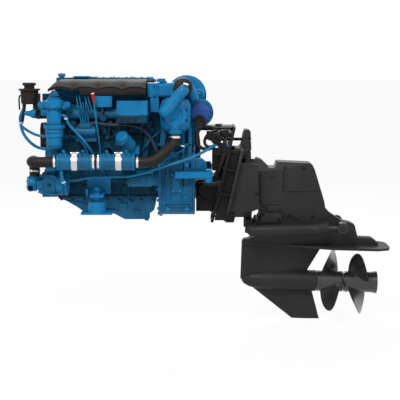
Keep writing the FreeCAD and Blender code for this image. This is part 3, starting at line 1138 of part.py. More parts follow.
def gimbal_housing():
    """The outer shield: a leaning flange with a register in the transom, a deep open shell
    behind it, and the faceted fin over the upper swivel bearing."""
    flange_points = mirrored_outline([("100", "-214"), ("flange_half", "-120"), ("flange_half", "100"),
                                      ("152", "170"), ("64", "190"), ("fin_half", "250")])
    flange = slab("GimbalFlange", "front", flange_points, "0", "flange_thick")
    spigot_out = mirrored_outline([("opening_half", "-opening_low"), ("opening_half", "110"),
                                   ("80", "opening_high+6")])
    spigot = slab("GimbalSpigot", "front", spigot_out, "-spigot_depth", "spigot_depth")
    opening = slab("GimbalOpening", "front", mirrored_outline([
        ("opening_half-6", "-opening_low+8"), ("opening_half-6", "106"), ("76", "opening_high")]),
        "-spigot_depth-1", "spigot_depth+flange_thick+20")
    bridge = box("GimbalBridge", ("-web_front", "-opening_half+4", "-42"),
                 ("web_thick", "opening_half*2-8", "84"))
    eye = rod("GimbalEye", ("-web_front-8", "0", "0"), "x", "46", "web_thick+8")
    holes = [rod(f"FlangeHole{k}", ("-1", y, z), "x", "bolt_radius+seat_gap", "flange_thick+2")
             for k, (y, z) in enumerate(bolt_places())]
    rim = cut("GimbalRimWhole", fuse("GimbalRim", [cut("GimbalRimOpen", fuse(
        "GimbalRimSolid", [flange, spigot]), [opening]), bridge, eye]), holes)
    lean = leaning("Gimbal", rim)
    side = [("-43", "-188"), ("fin_aft", "-188"), ("fin_aft", "-153"), ("134", "-140"),
            ("127", "91"), ("101", "95"), ("fin_aft", "168"), ("36", "168")]
    face = mirrored_outline([("104", "-188"), ("shell_half", "-154"), ("shell_half", "100"),
                             ("78", "168")])
    shell = common("ShellOuter", [
        slab("ShellSide", "side", side, "-shell_half-2", "shell_half*2+4"),
        slab("ShellFace", "front", face, "-60", "220"),
        fuse("ShellTaper", [box("ShellTaperLow", ("-60", "-160", "-200"), ("220", "320", "300")),
                            slab("ShellTaperTop", "plan", both_sides([
                                ("-60", "150"), ("20", "150"), ("fin_aft", "34")]), "99", "80")])])
    room = slab("ShellRoom", "front", mirrored_outline([
        ("96", "-153"), ("shell_half-shell_wall", "-146"), ("shell_half-shell_wall", "98"),
        ("74", "154")]), "-80", "240")
    tower = common("FinTower", [
        slab("FinSide", "side", [("34", "160"), ("fin_front", "225"), ("61", "fin_top"),
                                 ("82", "fin_top"), ("fin_aft-4", "252"), ("fin_aft", "160")],
             "-fin_half-5", "fin_half*2+10"),
        slab("FinPlan", "plan", [("20", "-fin_half"), ("fin_front+6", "-fin_half"),
                                 ("fin_aft+1", "-fin_aft_half"), ("fin_aft+1", "fin_aft_half"),
                                 ("fin_front+6", "fin_half"), ("20", "fin_half")], "158", "120")])
    slot = box("FinSlot", ("10", "-42", "lever_low-4"), ("fin_aft", "84", "lever_thick+8"))
    upper = rod("UpperSwivelBore", ("joint_x", "0", "150"), "z", "swivel_radius+fit", "96")
    lower = rod("LowerSwivelBore", ("joint_x", "0", "-190"), "z", "lower_swivel+fit", "60")
    bearing = rod("GimbalBearing", ("-70", "0", "0"), "x", "shaft_radius+fit", "100")
    behind = leaning("TransomSide", box("TransomRoom", ("-120", "-220", "-320"), ("120", "440", "640")))
    carcass = cut("ShellWhole", fuse("ShellAndFin", [cut("ShellHollow", shell, [room]), tower]),
                  [behind])
    node("gimbal_housing", cut("GimbalWhole", fuse("GimbalHousing", [lean, carcass]),
                               [slot, upper, lower, bearing]))


def gimbal_ring():
    """The ring that turns with the steering, its lower yoke carrying the trim cylinders."""
    high, half = "ring_high", "ring_half"
    outer = mirrored_outline([("72", f"-{high}"), (half, "-95"), (half, "95"), ("72", high)])
    inner = mirrored_outline([("64", f"-{high}+ring_bar"), (f"{half}-ring_wall", "-88"),
                              (f"{half}-ring_wall", "88"), ("64", f"{high}-ring_bar")])
    ring = cut("RingFrame", slab("RingOuter", "front", outer, "joint_x-ring_depth/2", "ring_depth"),
               [slab("RingInner", "front", inner, "joint_x-ring_depth/2-1", "ring_depth+2")])
    pins = [rod(f"TiltPin{hand}", ("joint_x", f"{sign}(ring_half-ring_wall+1)", "0"),
                "y" if sign == "-" else "-y", "tilt_pin", "16") for hand, sign in (("P", "-"), ("S", ""))]
    swivel = rod("LowerSwivel", ("joint_x", "0", "-yoke_high-2"), "z", "lower_swivel",
                 "yoke_high-ring_high+ring_bar*0.5")
    yoke = box("YokeTop", ("joint_x-17", "-70", "-yoke_high-22"), ("34", "140", "22"))
    legs = []
    for hand, sign in (("Port", "-1"), ("Starboard", "1")):
        y = f"{sign}*(trim_y-knuckle_width/2-21)"
        legs.append(box(f"YokeLeg{hand}", ("joint_x-14", f"{y}-12", "-yoke_low"),
                        ("40", "24", "yoke_low-yoke_high-10")))
        start = f"{sign}*(trim_y-knuckle_width/2-12)"
        legs.append(rod(f"TrimStud{hand}", ("joint_x+trim_x", start, "-trim_z"),
                        "-y" if sign == "-1" else "y", "trim_shaft", "knuckle_width+16"))
        head = f"{sign}*(trim_y+knuckle_width/2+1)"
        legs.append(rod(f"TrimCap{hand}", ("joint_x+trim_x", head, "-trim_z"),
                        "-y" if sign == "-1" else "y", "trim_shaft*1.3", "5"))
    wide = box("YokeCross", ("joint_x-14", "-trim_y+knuckle_width/2+10", "-yoke_high-30"),
               ("28", "trim_y*2-knuckle_width-20", "18"))
    node("gimbal_ring", fuse("GimbalRingWhole", [ring, swivel, yoke, wide] + pins + legs))


def steering_lever():
    """The upper swivel shaft with its lever, slotted for the ram's pin."""
    shaft = rod("SwivelShaft", ("joint_x", "0", "ring_high"), "z", "swivel_radius",
                "246-ring_high")
    hub = rod("LeverHub", ("joint_x", "0", "lever_low"), "z", "swivel_radius+7", "lever_thick")
    bar = box("LeverBar", ("joint_x-lever_reach-40", "-lever_half", "lever_low"),
              ("lever_reach+40", "lever_half*2", "lever_thick"))
    slot = box("LeverSlot", ("joint_x-lever_reach-ram_pin-24", "-ram_pin-slot_clearance",
                             "lever_low-1"),
               ("24+ram_pin*2+4", "(ram_pin+slot_clearance)*2", "lever_thick+2"))
    node("steering_lever", cut("SteeringLever", fuse("LeverWhole", [shaft, hub, bar]), [slot]))


def steering_ram():
    """The steering cylinder across the shield's bracket, and its rod, forked round the lever."""
    x, z = "joint_x-lever_reach", "(lever_low+lever_thick/2)"
    barrel = turned("RamBarrel", (x, "ram_start", z), "y", [
        ("0", "ram_rod+fit"), ("0", "ram_radius-6"), ("16", "ram_radius-6"), ("16", "ram_radius"),
        ("ram_length-8", "ram_radius"), ("ram_length", "ram_radius-8"), ("ram_length", "0"),
        ("ram_length-10", "0"), ("ram_length-10", "ram_rod+fit")])
    node("steering_cylinder", group("SteeringCylinder", [barrel]))
    fork = []
    for k, level in enumerate((f"{z}+lever_thick/2+seat_gap", f"{z}-lever_thick/2-seat_gap-9")):
        fork.append(box(f"RamFork{k}", (f"{x}-14", "-14", level), ("28", "50", "9")))
    web = box("RamWeb", (f"{x}-14", "26", f"{z}-lever_thick/2-9"), ("28", "10", "lever_thick+18"))
    pin = rod("RamPin", (x, "0", f"{z}-lever_thick/2-5"), "z", "ram_pin", "lever_thick+10")
    bar = rod("RamRod", (x, "34", z), "y", "ram_rod", "ram_start+70")
    node("steering_rod", fuse("SteeringRod", fork + [web, pin, bar]))


inner_transom_plate()
transom_bolts()
gimbal_housing()
gimbal_ring()
steering_lever()
steering_ram()

# Drive leg, drawn about the joint's centre
sizes(trim_in=1.6, mouth_front=5, mouth_radius=80, room_radius=62, room_depth=25, ear_radius=26,
      throat_radius=30, drive_shaft=14, gear_x=200, gear_room=54, gear_far=36, gear_near=20,
      leg_split=205, split_y=80, seam_z=40, cover_start=151, core_inset=12, groove_depth_side=3,
      foot_axis=537, lower_room=46, pinion_far=37, pinion_near=22.2, wheel_far=22, wheel_near=13.2,
      tube_shaft=24, tube_bore=14, rod_pivot_x=499.5, rod_pivot_z=226.5, pin_radius=8,
      plate_top=333, plate_low=345, hull_radius=56, hull_aft=383, hub_gap=4, hub_radius=55,
      front_hub=138, rear_hub=179, front_blade=178, rear_blade=172, screw_pitch=400)
HEAD_SIDE = [("66", "-leg_split"), ("66", "-125"), ("30", "-125"), ("30", "98"), ("45", "117"),
             ("71", "107"), ("94", "85"), ("108", "70"), ("143", "70"), ("cover_start", "102"),
             ("324", "98"), ("337", "90"), ("351", "63"), ("387", "-seam_z"), ("409", "-104"),
             ("416", "-137"), ("439", "-163"), ("472", "-184"), ("507", "-leg_split")]
CORE_SIDE = [("130", "-60"), ("130", "66"), ("cover_start+6", "102-core_inset"),
             ("322", "98-core_inset"), ("338", "60-core_inset"), ("372", "-seam_z-1"), ("376", "-60")]


def about_joint(name, things):
    """Set pieces drawn about the joint's centre down in the boat, trimmed in."""
    whole = group(name, things)
    whole.Placement = Placement(Vector(), Rotation(CROSSWISE, 5))
    bind(whole, "Placement.Rotation.Angle", "trim_in")
    bind(whole, "Placement.Base.x", "joint_x")
    return whole


def core(name, extra):
    """The inner housing that the rear cover fits over."""
    side = slab(name + "Side", "side", CORE_SIDE, "-100", "200")
    plan = slab(name + "Plan", "plan", both_sides([
        ("120", f"split_y-core_inset-4+{extra}"), ("170", f"76-core_inset+{extra}"),
        ("330", f"60-core_inset+{extra}"), ("380", f"42-core_inset+{extra}")]), "-70", "180")
    front = slab(name + "Front", "front", [
        (f"-80+core_inset-{extra}", "-65"), (f"80-core_inset+{extra}", "-65"),
        (f"80-core_inset+{extra}", "44"), (f"62-core_inset+{extra}", "84"),
        (f"34-core_inset+{extra}", "104"), (f"-34+core_inset-{extra}", "104"),
        (f"-62+core_inset-{extra}", "84"), (f"-80+core_inset-{extra}", "44")], "100", "300")
    return common(name, [side, plan, front])


def drive_head():
    """The upper housing, its mouth round the joint, and the cover over the gears behind it."""
    whole = common("HeadForm", [
        slab("HeadSide", "side", HEAD_SIDE, "-120", "240"),
        slab("HeadPlan", "plan", both_sides([
            ("26", "split_y"), ("110", "split_y"), ("170", "76"), ("330", "60"), ("400", "36"),
            ("510", "22")]), "-210", "340"),
        slab("HeadFront", "front", [("-62", "-210"), ("62", "-210"), ("80", "-120"), ("80", "55"),
                                    ("62", "95"), ("34", "118"), ("-34", "118"), ("-62", "95"),
                                    ("-80", "55"), ("-80", "-120")], "20", "500")])
    zone = box("CoverZone", ("cover_start", "-120", "-seam_z"), ("260", "240", "160"))
    grooves = [box(f"CoverGroove{k}", ("188", f"{sign}*72-4", "-seam_z+8"), ("20", "8", "110"))
               for k, sign in enumerate(("-1", "1"))]
    cover = cut("CoverShellAft", common("CoverForm", [whole, zone]), [core("CoverRoom", "0.5")] + grooves)
    node("rear_cover", about_joint("RearCover", [cover]))
    mouth = rod("HeadMouth", ("-mouth_front", "0", "0"), "x", "mouth_radius", "40")
    ears = [rod(f"HeadEar{k}", ("0", f"{sign}*60", "0"), along, "ear_radius", "39")
            for k, (sign, along) in enumerate((("-1", "-y"), ("1", "y")))]
    pin_bores = [rod(f"HeadPinBore{k}", ("0", f"{sign}*78", "0"), along, "tilt_pin+fit", "40")
                 for k, (sign, along) in enumerate((("-1", "-y"), ("1", "y")))]
    room = rod("HeadRoom", ("-mouth_front-30", "0", "0"), "x", "room_radius",
               "room_depth+mouth_front+30")
    throat = rod("HeadThroat", ("0", "0", "0"), "x", "throat_radius", "110")
    seat = rod("HeadSeat", ("100", "0", "0"), "x", "drive_shaft+fit", "60")
    gears = doc.addObject("Part::Sphere", "HeadGearRoom")
    bind(gears, "Radius", "gear_room")
    put(gears, ("gear_x", "0", "0"))
    down = rod("HeadDown", ("gear_x", "0", "-30"), "-z", "drive_shaft+fit", "leg_split")
    body = fuse("HeadBody", [cut("HeadOpen", whole, [zone]), core("HeadCore2", "0"), mouth] + ears)
    housing = cut("HeadHousing", body, [room, throat, seat, gears, down] + pin_bores)
    node("drive_shaft_housing", about_joint("DriveShaftHousing", [housing]))


def lens(front, aft, half, level):
    """A level blade-shaped outline, blunt in front and fine behind."""
    stations = [(0.0, 0.0), (0.03, 0.42), (0.1, 0.72), (0.25, 0.96), (0.4, 1.0), (0.6, 0.86),
                (0.8, 0.5), (1.0, 0.06)]
    side = [Vector(front + (aft - front) * along, half * width, level) for along, width in stations]
    near = Part.BSplineCurve()
    near.interpolate(side)
    far = Part.BSplineCurve()
    far.interpolate([Vector(point.x, -point.y, point.z) for point in reversed(side)])
    tail = Part.LineSegment(side[-1], Vector(side[-1].x, -side[-1].y, level))
    return Part.Wire([near.toShape(), tail.toShape(), far.toShape()])


def gear_housing():
    """The lower unit: upper leg, anti-ventilation plate, strut, bullet and skeg."""
    side = [("52", "-leg_split"), ("507", "-leg_split"), ("555", "-215"), ("575", "-225"),
            ("594", "-291"), ("600", "-plate_top"), ("-18", "-plate_top"), ("-5", "-322"), ("52", "-300")]
    upper = common("LegUpper", [
        slab("LegSide", "side", side, "-100", "200"),
        slab("LegPlan", "plan", both_sides([("-18", "12"), ("40", "45"), ("150", "62"), ("300", "62"),
                                            ("500", "45"), ("600", "30")]), "-340", "140")])
    plate = slab("LegPlate", "plan", both_sides([("-18", "30"), ("60", "52"), ("250", "75"),
                                                 ("450", "135"), ("690", "135"), ("750", "100"),
                                                 ("761", "60")]), "-plate_low", "plate_low-plate_top")
    ridge = slab("LegRidge", "side", [("560", "-plate_top-1"), ("560", "-295"), ("600", "-300"),
                                      ("700", "-plate_top-1")], "-26", "52")
    low = -dim.plate_low + 1
    axis = -dim.foot_axis
    strut = made("LegStrut", Part.makeLoft([lens(-18, 412, 30, low), lens(-19, 305, 26, axis)], True, True))
    bullet = turned("LegBullet", ("-13", "0", "-foot_axis"), "x", [
        ("0", "0"), ("4", "14"), ("16", "27"), ("42", "40"), ("88", "51"), ("150", "hull_radius"),
        ("hull_aft+13", "hull_radius"), ("hull_aft+13", "0")])
    skeg = made("LegSkeg", Part.makeLoft([lens(-12, 350, 15, axis), lens(263, 411, 6, -744)], True, True))
    boss = rod("LegRodBoss", ("rod_pivot_x", "-117", "-rod_pivot_z"), "y", "20", "234")
    pin_bore = rod("LegPinBore", ("rod_pivot_x", "-118", "-rod_pivot_z"), "y", "pin_radius+fit", "236")
    down = rod("LegDown", ("gear_x", "0", "-leg_split+1"), "-z", "drive_shaft+fit",
               "foot_axis-leg_split-10")
    gears = doc.addObject("Part::Sphere", "LegGearRoom")
    bind(gears, "Radius", "lower_room")
    put(gears, ("gear_x", "0", "-foot_axis"))
    aft = rod("LegShaftBore", ("gear_x", "0", "-foot_axis"), "x", "tube_shaft+fit", "hull_aft-gear_x+1")
    leg = cut("LegWhole", fuse("LegCasting", [upper, plate, ridge, strut, bullet, skeg, boss]),
              [pin_bore, down, gears, aft])
    node("gear_housing", about_joint("GearHousing", [leg]))


def blade(axis_x, root, tip, hand):
    """One propeller blade standing up from the axis: lens sections, each turned to the pitch
    angle at its own radius, joined by a smooth loft."""
    wires = []
    for share, chord, thick in ((0.0, 118, 13), (0.3, 150, 10), (0.58, 152, 8), (0.82, 116, 6),
                                (0.94, 76, 4.5), (1.0, 38, 3)):
        radius = root + (tip - root) * share
        pitch = math.atan(dim.screw_pitch / (2 * math.pi * radius))
        ahead = Vector(math.sin(pitch), hand * math.cos(pitch), 0)
        across = Vector(math.cos(pitch), -hand * math.sin(pitch), 0)
        middle = Vector(axis_x + 10 * share, hand * -26 * share * share, radius)
        side = [(-0.5, 0.0), (-0.42, 0.5), (-0.2, 0.95), (0.05, 1.0), (0.3, 0.7), (0.46, 0.25),
                (0.5, 0.0)]
        top = [middle + ahead * (chord * u) + across * (thick * v / 2) for u, v in side]
        low = [middle + ahead * (chord * u) - across * (thick * v / 2) for u, v in reversed(side)]
        curves = []
        for points in (top, low):
            curve = Part.BSplineCurve()
            curve.interpolate(points)
            curves.append(curve.toShape())
        wires.append(Part.Wire(curves))
    return Part.makeLoft(wires, True, False)


def propeller(name, hub, middle, tip, hand, bore):
    """A three bladed propeller on its hub and shaft: the hub's outline is listed along the axis
    from the shaft's first end."""
    start, points = hub
    body = turned(name.title().replace("_", "") + "Hub", (start, "0", "-foot_axis"), "x", points)
    blades = []
    for k in range(3):
        shape = blade(middle, 44, tip, hand)
        shape.rotate(Vector(), Vector(1, 0, 0), 120 * k + (0 if hand > 0 else 40))
        shape.translate(Vector(0, 0, -dim.foot_axis))
        blades.append(made(f"{name.title().replace('_', '')}Blade{k}", shape))
    whole = fuse(name.title().replace("_", "") + "Whole", [body] + blades)
    if bore:
        hole = rod(name.title().replace("_", "") + "Bore", ("gear_x", "0", "-foot_axis"), "x", bore,
                   "400")
        whole = cut(name.title().replace("_", "") + "Bored", whole, [hole])
    node(name, about_joint(name.title().replace("_", ""), [whole]))


def spinning_drive():
    """The shaft from the joint, the upright shaft, and the two propellers on shafts one inside
    the other, all with bevel gears."""
    ball = doc.addObject("Part::Sphere", "InputBall")
    bind(ball, "Radius", "ball_radius")
    shaft = turned("InputShaftBody", ("0", "0", "0"), "x", [
        ("0", "0"), ("0", "drive_shaft"), ("gear_x-gear_far", "drive_shaft"),
        ("gear_x-gear_far", "gear_far-0.5"), ("gear_x-gear_near", "gear_near-0.5"),
        ("gear_x-gear_near", "0")])
    node("input_shaft", about_joint("InputShaft", [fuse("InputShaftWhole", [ball, shaft])]))
    upright = turned("UprightShaft", ("gear_x", "0", "-gear_near"), "-z", [
        ("0", "0"), ("0", "gear_near-0.5"), ("gear_far-gear_near", "gear_far-0.5"),
        ("gear_far-gear_near", "drive_shaft"), ("foot_axis-pinion_far-gear_near", "drive_shaft"),
        ("foot_axis-pinion_far-gear_near", "wheel_far-0.5"),
        ("foot_axis-pinion_near-gear_near", "wheel_near-0.5"), ("foot_axis-pinion_near-gear_near", "0")])
    node("vertical_shaft", about_joint("VerticalShaft", [upright]))
    front_start = "hull_aft+hub_gap-gear_x-wheel_near"
    front = [("0", "0"), ("0", "pinion_near-0.5"), ("wheel_far-wheel_near", "pinion_far-0.5"),
             ("wheel_far-wheel_near", "tube_shaft"), (front_start, "tube_shaft"),
             (front_start, "hub_radius"), (f"{front_start}+front_hub-10", "hub_radius"),
             (f"{front_start}+front_hub", "hub_radius-5"), (f"{front_start}+front_hub", "0")]
    propeller("front_propeller", ("gear_x+wheel_near", front), 457, dim.front_blade, 1, "tube_bore")
    rear_start = "hull_aft+hub_gap*2+front_hub-gear_x+wheel_far"
    rear = [("0", "0"), ("0", "pinion_far-0.5"), ("wheel_far-wheel_near", "pinion_near-0.5"),
            ("wheel_far-wheel_near", "tube_bore-fit"), (rear_start, "tube_bore-fit"),
            (rear_start, "hub_radius-5"), (f"{rear_start}+10", "hub_radius"),
            (f"{rear_start}+rear_hub-30", "hub_radius"), (f"{rear_start}+rear_hub", "hub_radius+5"),
            (f"{rear_start}+rear_hub", "hub_radius-1"), (f"{rear_start}+rear_hub-20", "hub_radius-6"),
            (f"{rear_start}+rear_hub-20", "0")]
    propeller("rear_propeller", ("gear_x-wheel_far", rear), 604, dim.rear_blade, -1, "")


def bellows():
    """The rubber bellows round the joint, from the bearing's boss to the drive's mouth."""
    folds = 7
    length = 116
    points = [("0", "48")]
    for k in range(folds):
        points += [(f"{length * (k + 0.5) / folds}", "57"), (f"{length * (k + 1) / folds}", "48")]
    inside = [(along, f"{radius}-3") for along, radius in reversed(points)]
    tube = turned("BellowsTube", ("-16", "0", "0"), "x", points + inside)
    front = leaning("BellowsFront", box("BellowsCut", ("-80", "-80", "-100"), ("70.3", "160", "200")))
    node("drive_bellows", cut("Bellows", tube, [front]))


def trim_rams():
    """The trim cylinders from the ring's yoke to the leg, their rods and the pin across the leg.
    The rods' eyes are open enough for the pin to stay clear through the whole tilt."""
    angle = math.radians(dim.trim_in)
    pivot_x = dim.rod_pivot_x * math.cos(angle) - dim.rod_pivot_z * math.sin(angle) - dim.trim_x
    pivot_z = dim.trim_z - dim.rod_pivot_x * math.sin(angle) - dim.rod_pivot_z * math.cos(angle)
    sizes(ram_lift=round(math.degrees(math.atan2(pivot_z, pivot_x)), 4),
          ram_span=round(math.hypot(pivot_x, pivot_z), 3))
    barrels = []
    rods = []
    for hand, side in (("Port", "-trim_y"), ("Starboard", "trim_y")):
        knuckle = rod(f"Knuckle{hand}", ("0", f"{side}-knuckle_width/2", "0"), "y", "knuckle_radius",
                      "knuckle_width")
        barrel = turned(f"Barrel{hand}", ("14", side, "0"), "x", [
            ("0", "0"), ("0", "barrel_radius"), ("341", "barrel_radius"), ("341", "24"),
            ("388", "24"), ("391", "21"), ("391", "9.05"), ("46", "9.05"), ("46", "0")])
        stud = rod(f"KnuckleBore{hand}", ("0", f"{side}-knuckle_width", "0"), "y", "trim_shaft+fit",
                   "knuckle_width*2")
        barrels.append(cut(f"TrimBarrel{hand}", fuse(f"BarrelWhole{hand}", [knuckle, barrel]), [stud]))
        bar = turned(f"Rod{hand}", ("70", side, "0"), "x", [
            ("0", "0"), ("0", "9"), ("ram_span-92", "9"), ("ram_span-92", "0")])
        eye = rod(f"RodEye{hand}", ("ram_span", f"{side}-knuckle_width/2", "0"), "y", "28",
                  "knuckle_width")
        hole = rod(f"RodHole{hand}", ("ram_span", f"{side}-knuckle_width", "0"), "y", "19.5",
                   "knuckle_width*2")
        rods.append(cut(f"TrimRod{hand}", fuse(f"RodWhole{hand}", [bar, eye]), [hole]))
    for name, label, pieces in (("trim_barrels", "TrimBarrels", barrels), ("trim_rods", "TrimRods", rods)):
        whole = group(label, pieces)
        whole.Placement = Placement(Vector(), Rotation(CROSSWISE, -1))
        bind(whole, "Placement.Rotation.Angle", "-ram_lift")
        bind(whole, "Placement.Base.x", "joint_x+trim_x")
        bind(whole, "Placement.Base.z", "-trim_z")
        node(name, whole)
    pin = rod("TrimPin", ("rod_pivot_x", "-trim_y-19", "-rod_pivot_z"), "y", "pin_radius", "trim_y*2+38")
    heads = [rod(f"TrimPinHead{k}", ("rod_pivot_x", start, "-rod_pivot_z"), "y", "24", "5")
             for k, start in enumerate(("-trim_y-19", "trim_y+14"))]
    node("trim_pins", about_joint("TrimPins", [fuse("TrimPinWhole", [pin] + heads)]))


drive_head()
gear_housing()
spinning_drive()
bellows()
trim_rams()

# Check every object and write the pieces
doc.recompute()
for thing in doc.Objects:
    if "Invalid" in thing.State or "Error" in thing.State:
        raise RuntimeError(f"{thing.Label}: {thing.getStatusString()}")
for name, thing in nodes.items():
    if thing.Shape.isNull() or not thing.Shape.isValid() or not thing.Shape.Solids:
        raise RuntimeError(f"{name} has no sound solid")
os.makedirs("parts", exist_ok=True)
for name, thing in nodes.items():
    thing.Shape.exportStep(f"parts/{name}.step")
print(f"{len(nodes)} pieces written")
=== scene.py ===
import math

import bmesh
import bpy
import numpy as np
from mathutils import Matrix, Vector
from mathutils.bvhtree import BVHTree


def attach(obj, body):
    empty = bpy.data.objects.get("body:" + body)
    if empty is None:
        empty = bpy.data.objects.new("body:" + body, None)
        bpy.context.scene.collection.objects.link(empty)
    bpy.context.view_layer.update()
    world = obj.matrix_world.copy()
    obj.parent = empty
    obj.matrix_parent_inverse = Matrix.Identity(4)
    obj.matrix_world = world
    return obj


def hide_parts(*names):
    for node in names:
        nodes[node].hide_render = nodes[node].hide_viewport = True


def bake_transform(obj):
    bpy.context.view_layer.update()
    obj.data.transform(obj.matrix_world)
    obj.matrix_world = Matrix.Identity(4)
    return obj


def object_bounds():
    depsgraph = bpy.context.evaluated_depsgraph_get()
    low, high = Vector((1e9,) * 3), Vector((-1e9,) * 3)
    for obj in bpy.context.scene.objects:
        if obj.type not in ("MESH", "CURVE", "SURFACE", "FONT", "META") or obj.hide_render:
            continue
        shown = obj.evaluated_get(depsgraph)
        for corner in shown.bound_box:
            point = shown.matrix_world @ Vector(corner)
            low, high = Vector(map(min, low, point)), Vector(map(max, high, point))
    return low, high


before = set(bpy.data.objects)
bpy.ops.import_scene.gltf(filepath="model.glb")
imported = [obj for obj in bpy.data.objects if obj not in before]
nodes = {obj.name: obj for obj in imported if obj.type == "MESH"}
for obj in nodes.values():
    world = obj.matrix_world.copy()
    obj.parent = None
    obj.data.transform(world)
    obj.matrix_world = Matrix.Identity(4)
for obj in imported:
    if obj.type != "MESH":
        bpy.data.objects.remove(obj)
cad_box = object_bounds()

scene = bpy.context.scene

# Camera
# The photograph looks square at the port side from a little above, with a long lens, so
# the engine and the drive keep their true proportions.

look_at = Vector((-0.1713, 0.0, -0.1121))
looking_down = math.radians(8.0)
camera_away = 5.888
picture_width = 400.0
lens_length = 1111.0
lens_data = bpy.data.cameras.new("side_camera")
lens_data.sensor_width = 36.0
lens_data.lens = lens_data.sensor_width * lens_length / picture_width
camera = bpy.data.objects.new("side_camera", lens_data)
camera.location = look_at + camera_away * Vector((0, -math.cos(looking_down), math.sin(looking_down)))
camera.rotation_euler = (math.pi / 2 - looking_down, 0, 0)
scene.collection.objects.link(camera)
scene.camera = camera

# Studio
# A pale floor under the skeg, a pale room all round and three large soft lamps. The floor
# and the room look white to the camera and in reflections, and light the engine mildly.

scene.view_settings.view_transform = "Standard"


def put_node(tree, kind, sockets=None, **settings):
    """Adds one node. Each socket takes either a value or the output that feeds it."""
    made = tree.nodes.new(kind)
    for key, value in settings.items():
        setattr(made, key, value)
    for key, value in (sockets or {}).items():
        if isinstance(value, bpy.types.NodeSocket):
            tree.links.new(value, made.inputs[key])
        else:
            made.inputs[key].default_value = value
    return made


def shown_white(tree):
    """A mask that is 1 for what the camera, a reflection or clear glass sees directly."""
    path = put_node(tree, "ShaderNodeLightPath")
    either = put_node(tree, "ShaderNodeMath", {0: path.outputs["Is Camera Ray"],
                                               1: path.outputs["Is Glossy Ray"]}, operation="MAXIMUM")
    return put_node(tree, "ShaderNodeMath", {0: either.outputs[0], 1: path.outputs["Is Transmission Ray"]},
                    operation="MAXIMUM").outputs[0]


room = bpy.data.worlds.new("pale_room")
room.use_nodes = True
scene.world = room
room_tree = room.node_tree
room_tree.nodes.clear()
room_light = put_node(room_tree, "ShaderNodeBackground", {"Color": (0.93, 0.96, 1.0, 1), "Strength": 0.34})
room_seen = put_node(room_tree, "ShaderNodeBackground", {"Color": (1, 1, 1, 1), "Strength": 1.0})
room_mix = put_node(room_tree, "ShaderNodeMixShader", {0: shown_white(room_tree), 1: room_light.outputs[0],
                                                       2: room_seen.outputs[0]})
put_node(room_tree, "ShaderNodeOutputWorld", {"Surface": room_mix.outputs[0]})

floor_paint = bpy.data.materials.new("pale_floor")
floor_paint.use_nodes = True
floor_tree = floor_paint.node_tree
floor_tree.nodes.clear()
floor_matt = put_node(floor_tree, "ShaderNodeBsdfDiffuse", {"Color": (0.90, 0.91, 0.92, 1)})
floor_seen = put_node(floor_tree, "ShaderNodeEmission", {"Color": (1, 1, 1, 1), "Strength": 1.0})
floor_white = 0.93
floor_share = put_node(floor_tree, "ShaderNodeMath", {0: shown_white(floor_tree), 1: floor_white},
                       operation="MULTIPLY")
floor_mix = put_node(floor_tree, "ShaderNodeMixShader", {0: floor_share.outputs[0], 1: floor_matt.outputs[0],
                                                         2: floor_seen.outputs[0]})
put_node(floor_tree, "ShaderNodeOutputMaterial", {"Surface": floor_mix.outputs[0]})

floor_level = cad_box[0].z - 0.004
floor_mesh = bpy.data.meshes.new("floor")
floor_mesh.from_pydata([(-40, -40, floor_level), (40, -40, floor_level), (40, 40, floor_level),
                        (-40, 40, floor_level)], [], [(0, 1, 2, 3)])
floor_mesh.materials.append(floor_paint)
floor = bpy.data.objects.new("floor", floor_mesh)
scene.collection.objects.link(floor)


def soft_lamp(name, place, size, watts, tint):
    """A square lamp that faces the middle of the engine."""
    data = bpy.data.lights.new(name, "AREA")
    data.size = size
    data.energy = watts
    data.color = tint
    lamp = bpy.data.objects.new(name, data)
    lamp.location = place
    lamp.rotation_euler = (look_at - Vector(place)).to_track_quat("-Z", "Y").to_euler()
    scene.collection.objects.link(lamp)


soft_lamp("key_lamp", (-1.6, -3.6, 3.6), 1.6, 165, (1.0, 0.99, 0.97))
soft_lamp("aft_lamp", (3.2, -2.2, 3.0), 1.6, 75, (0.96, 0.98, 1.0))
soft_lamp("far_lamp", (-0.6, 4.0, 3.0), 2.4, 150, (0.98, 0.99, 1.0))

# Cylinder block
# One iron casting painted with the rest of the engine. Cast ribs, core plugs, an oil gallery
# and rows of flanged screws break up its sides.


def new_group(name, takes, gives):
    """A named group of shader nodes with its input and output sockets."""
    tree = bpy.data.node_groups.new(name, "ShaderNodeTree")
    for label, kind, value in takes:
        socket = tree.interface.new_socket(label, in_out="INPUT", socket_type=kind)
        socket.default_value = value
    for label, kind in gives:
        tree.interface.new_socket(label, in_out="OUTPUT", socket_type=kind)
    return tree, tree.nodes.new("NodeGroupInput"), tree.nodes.new("NodeGroupOutput")


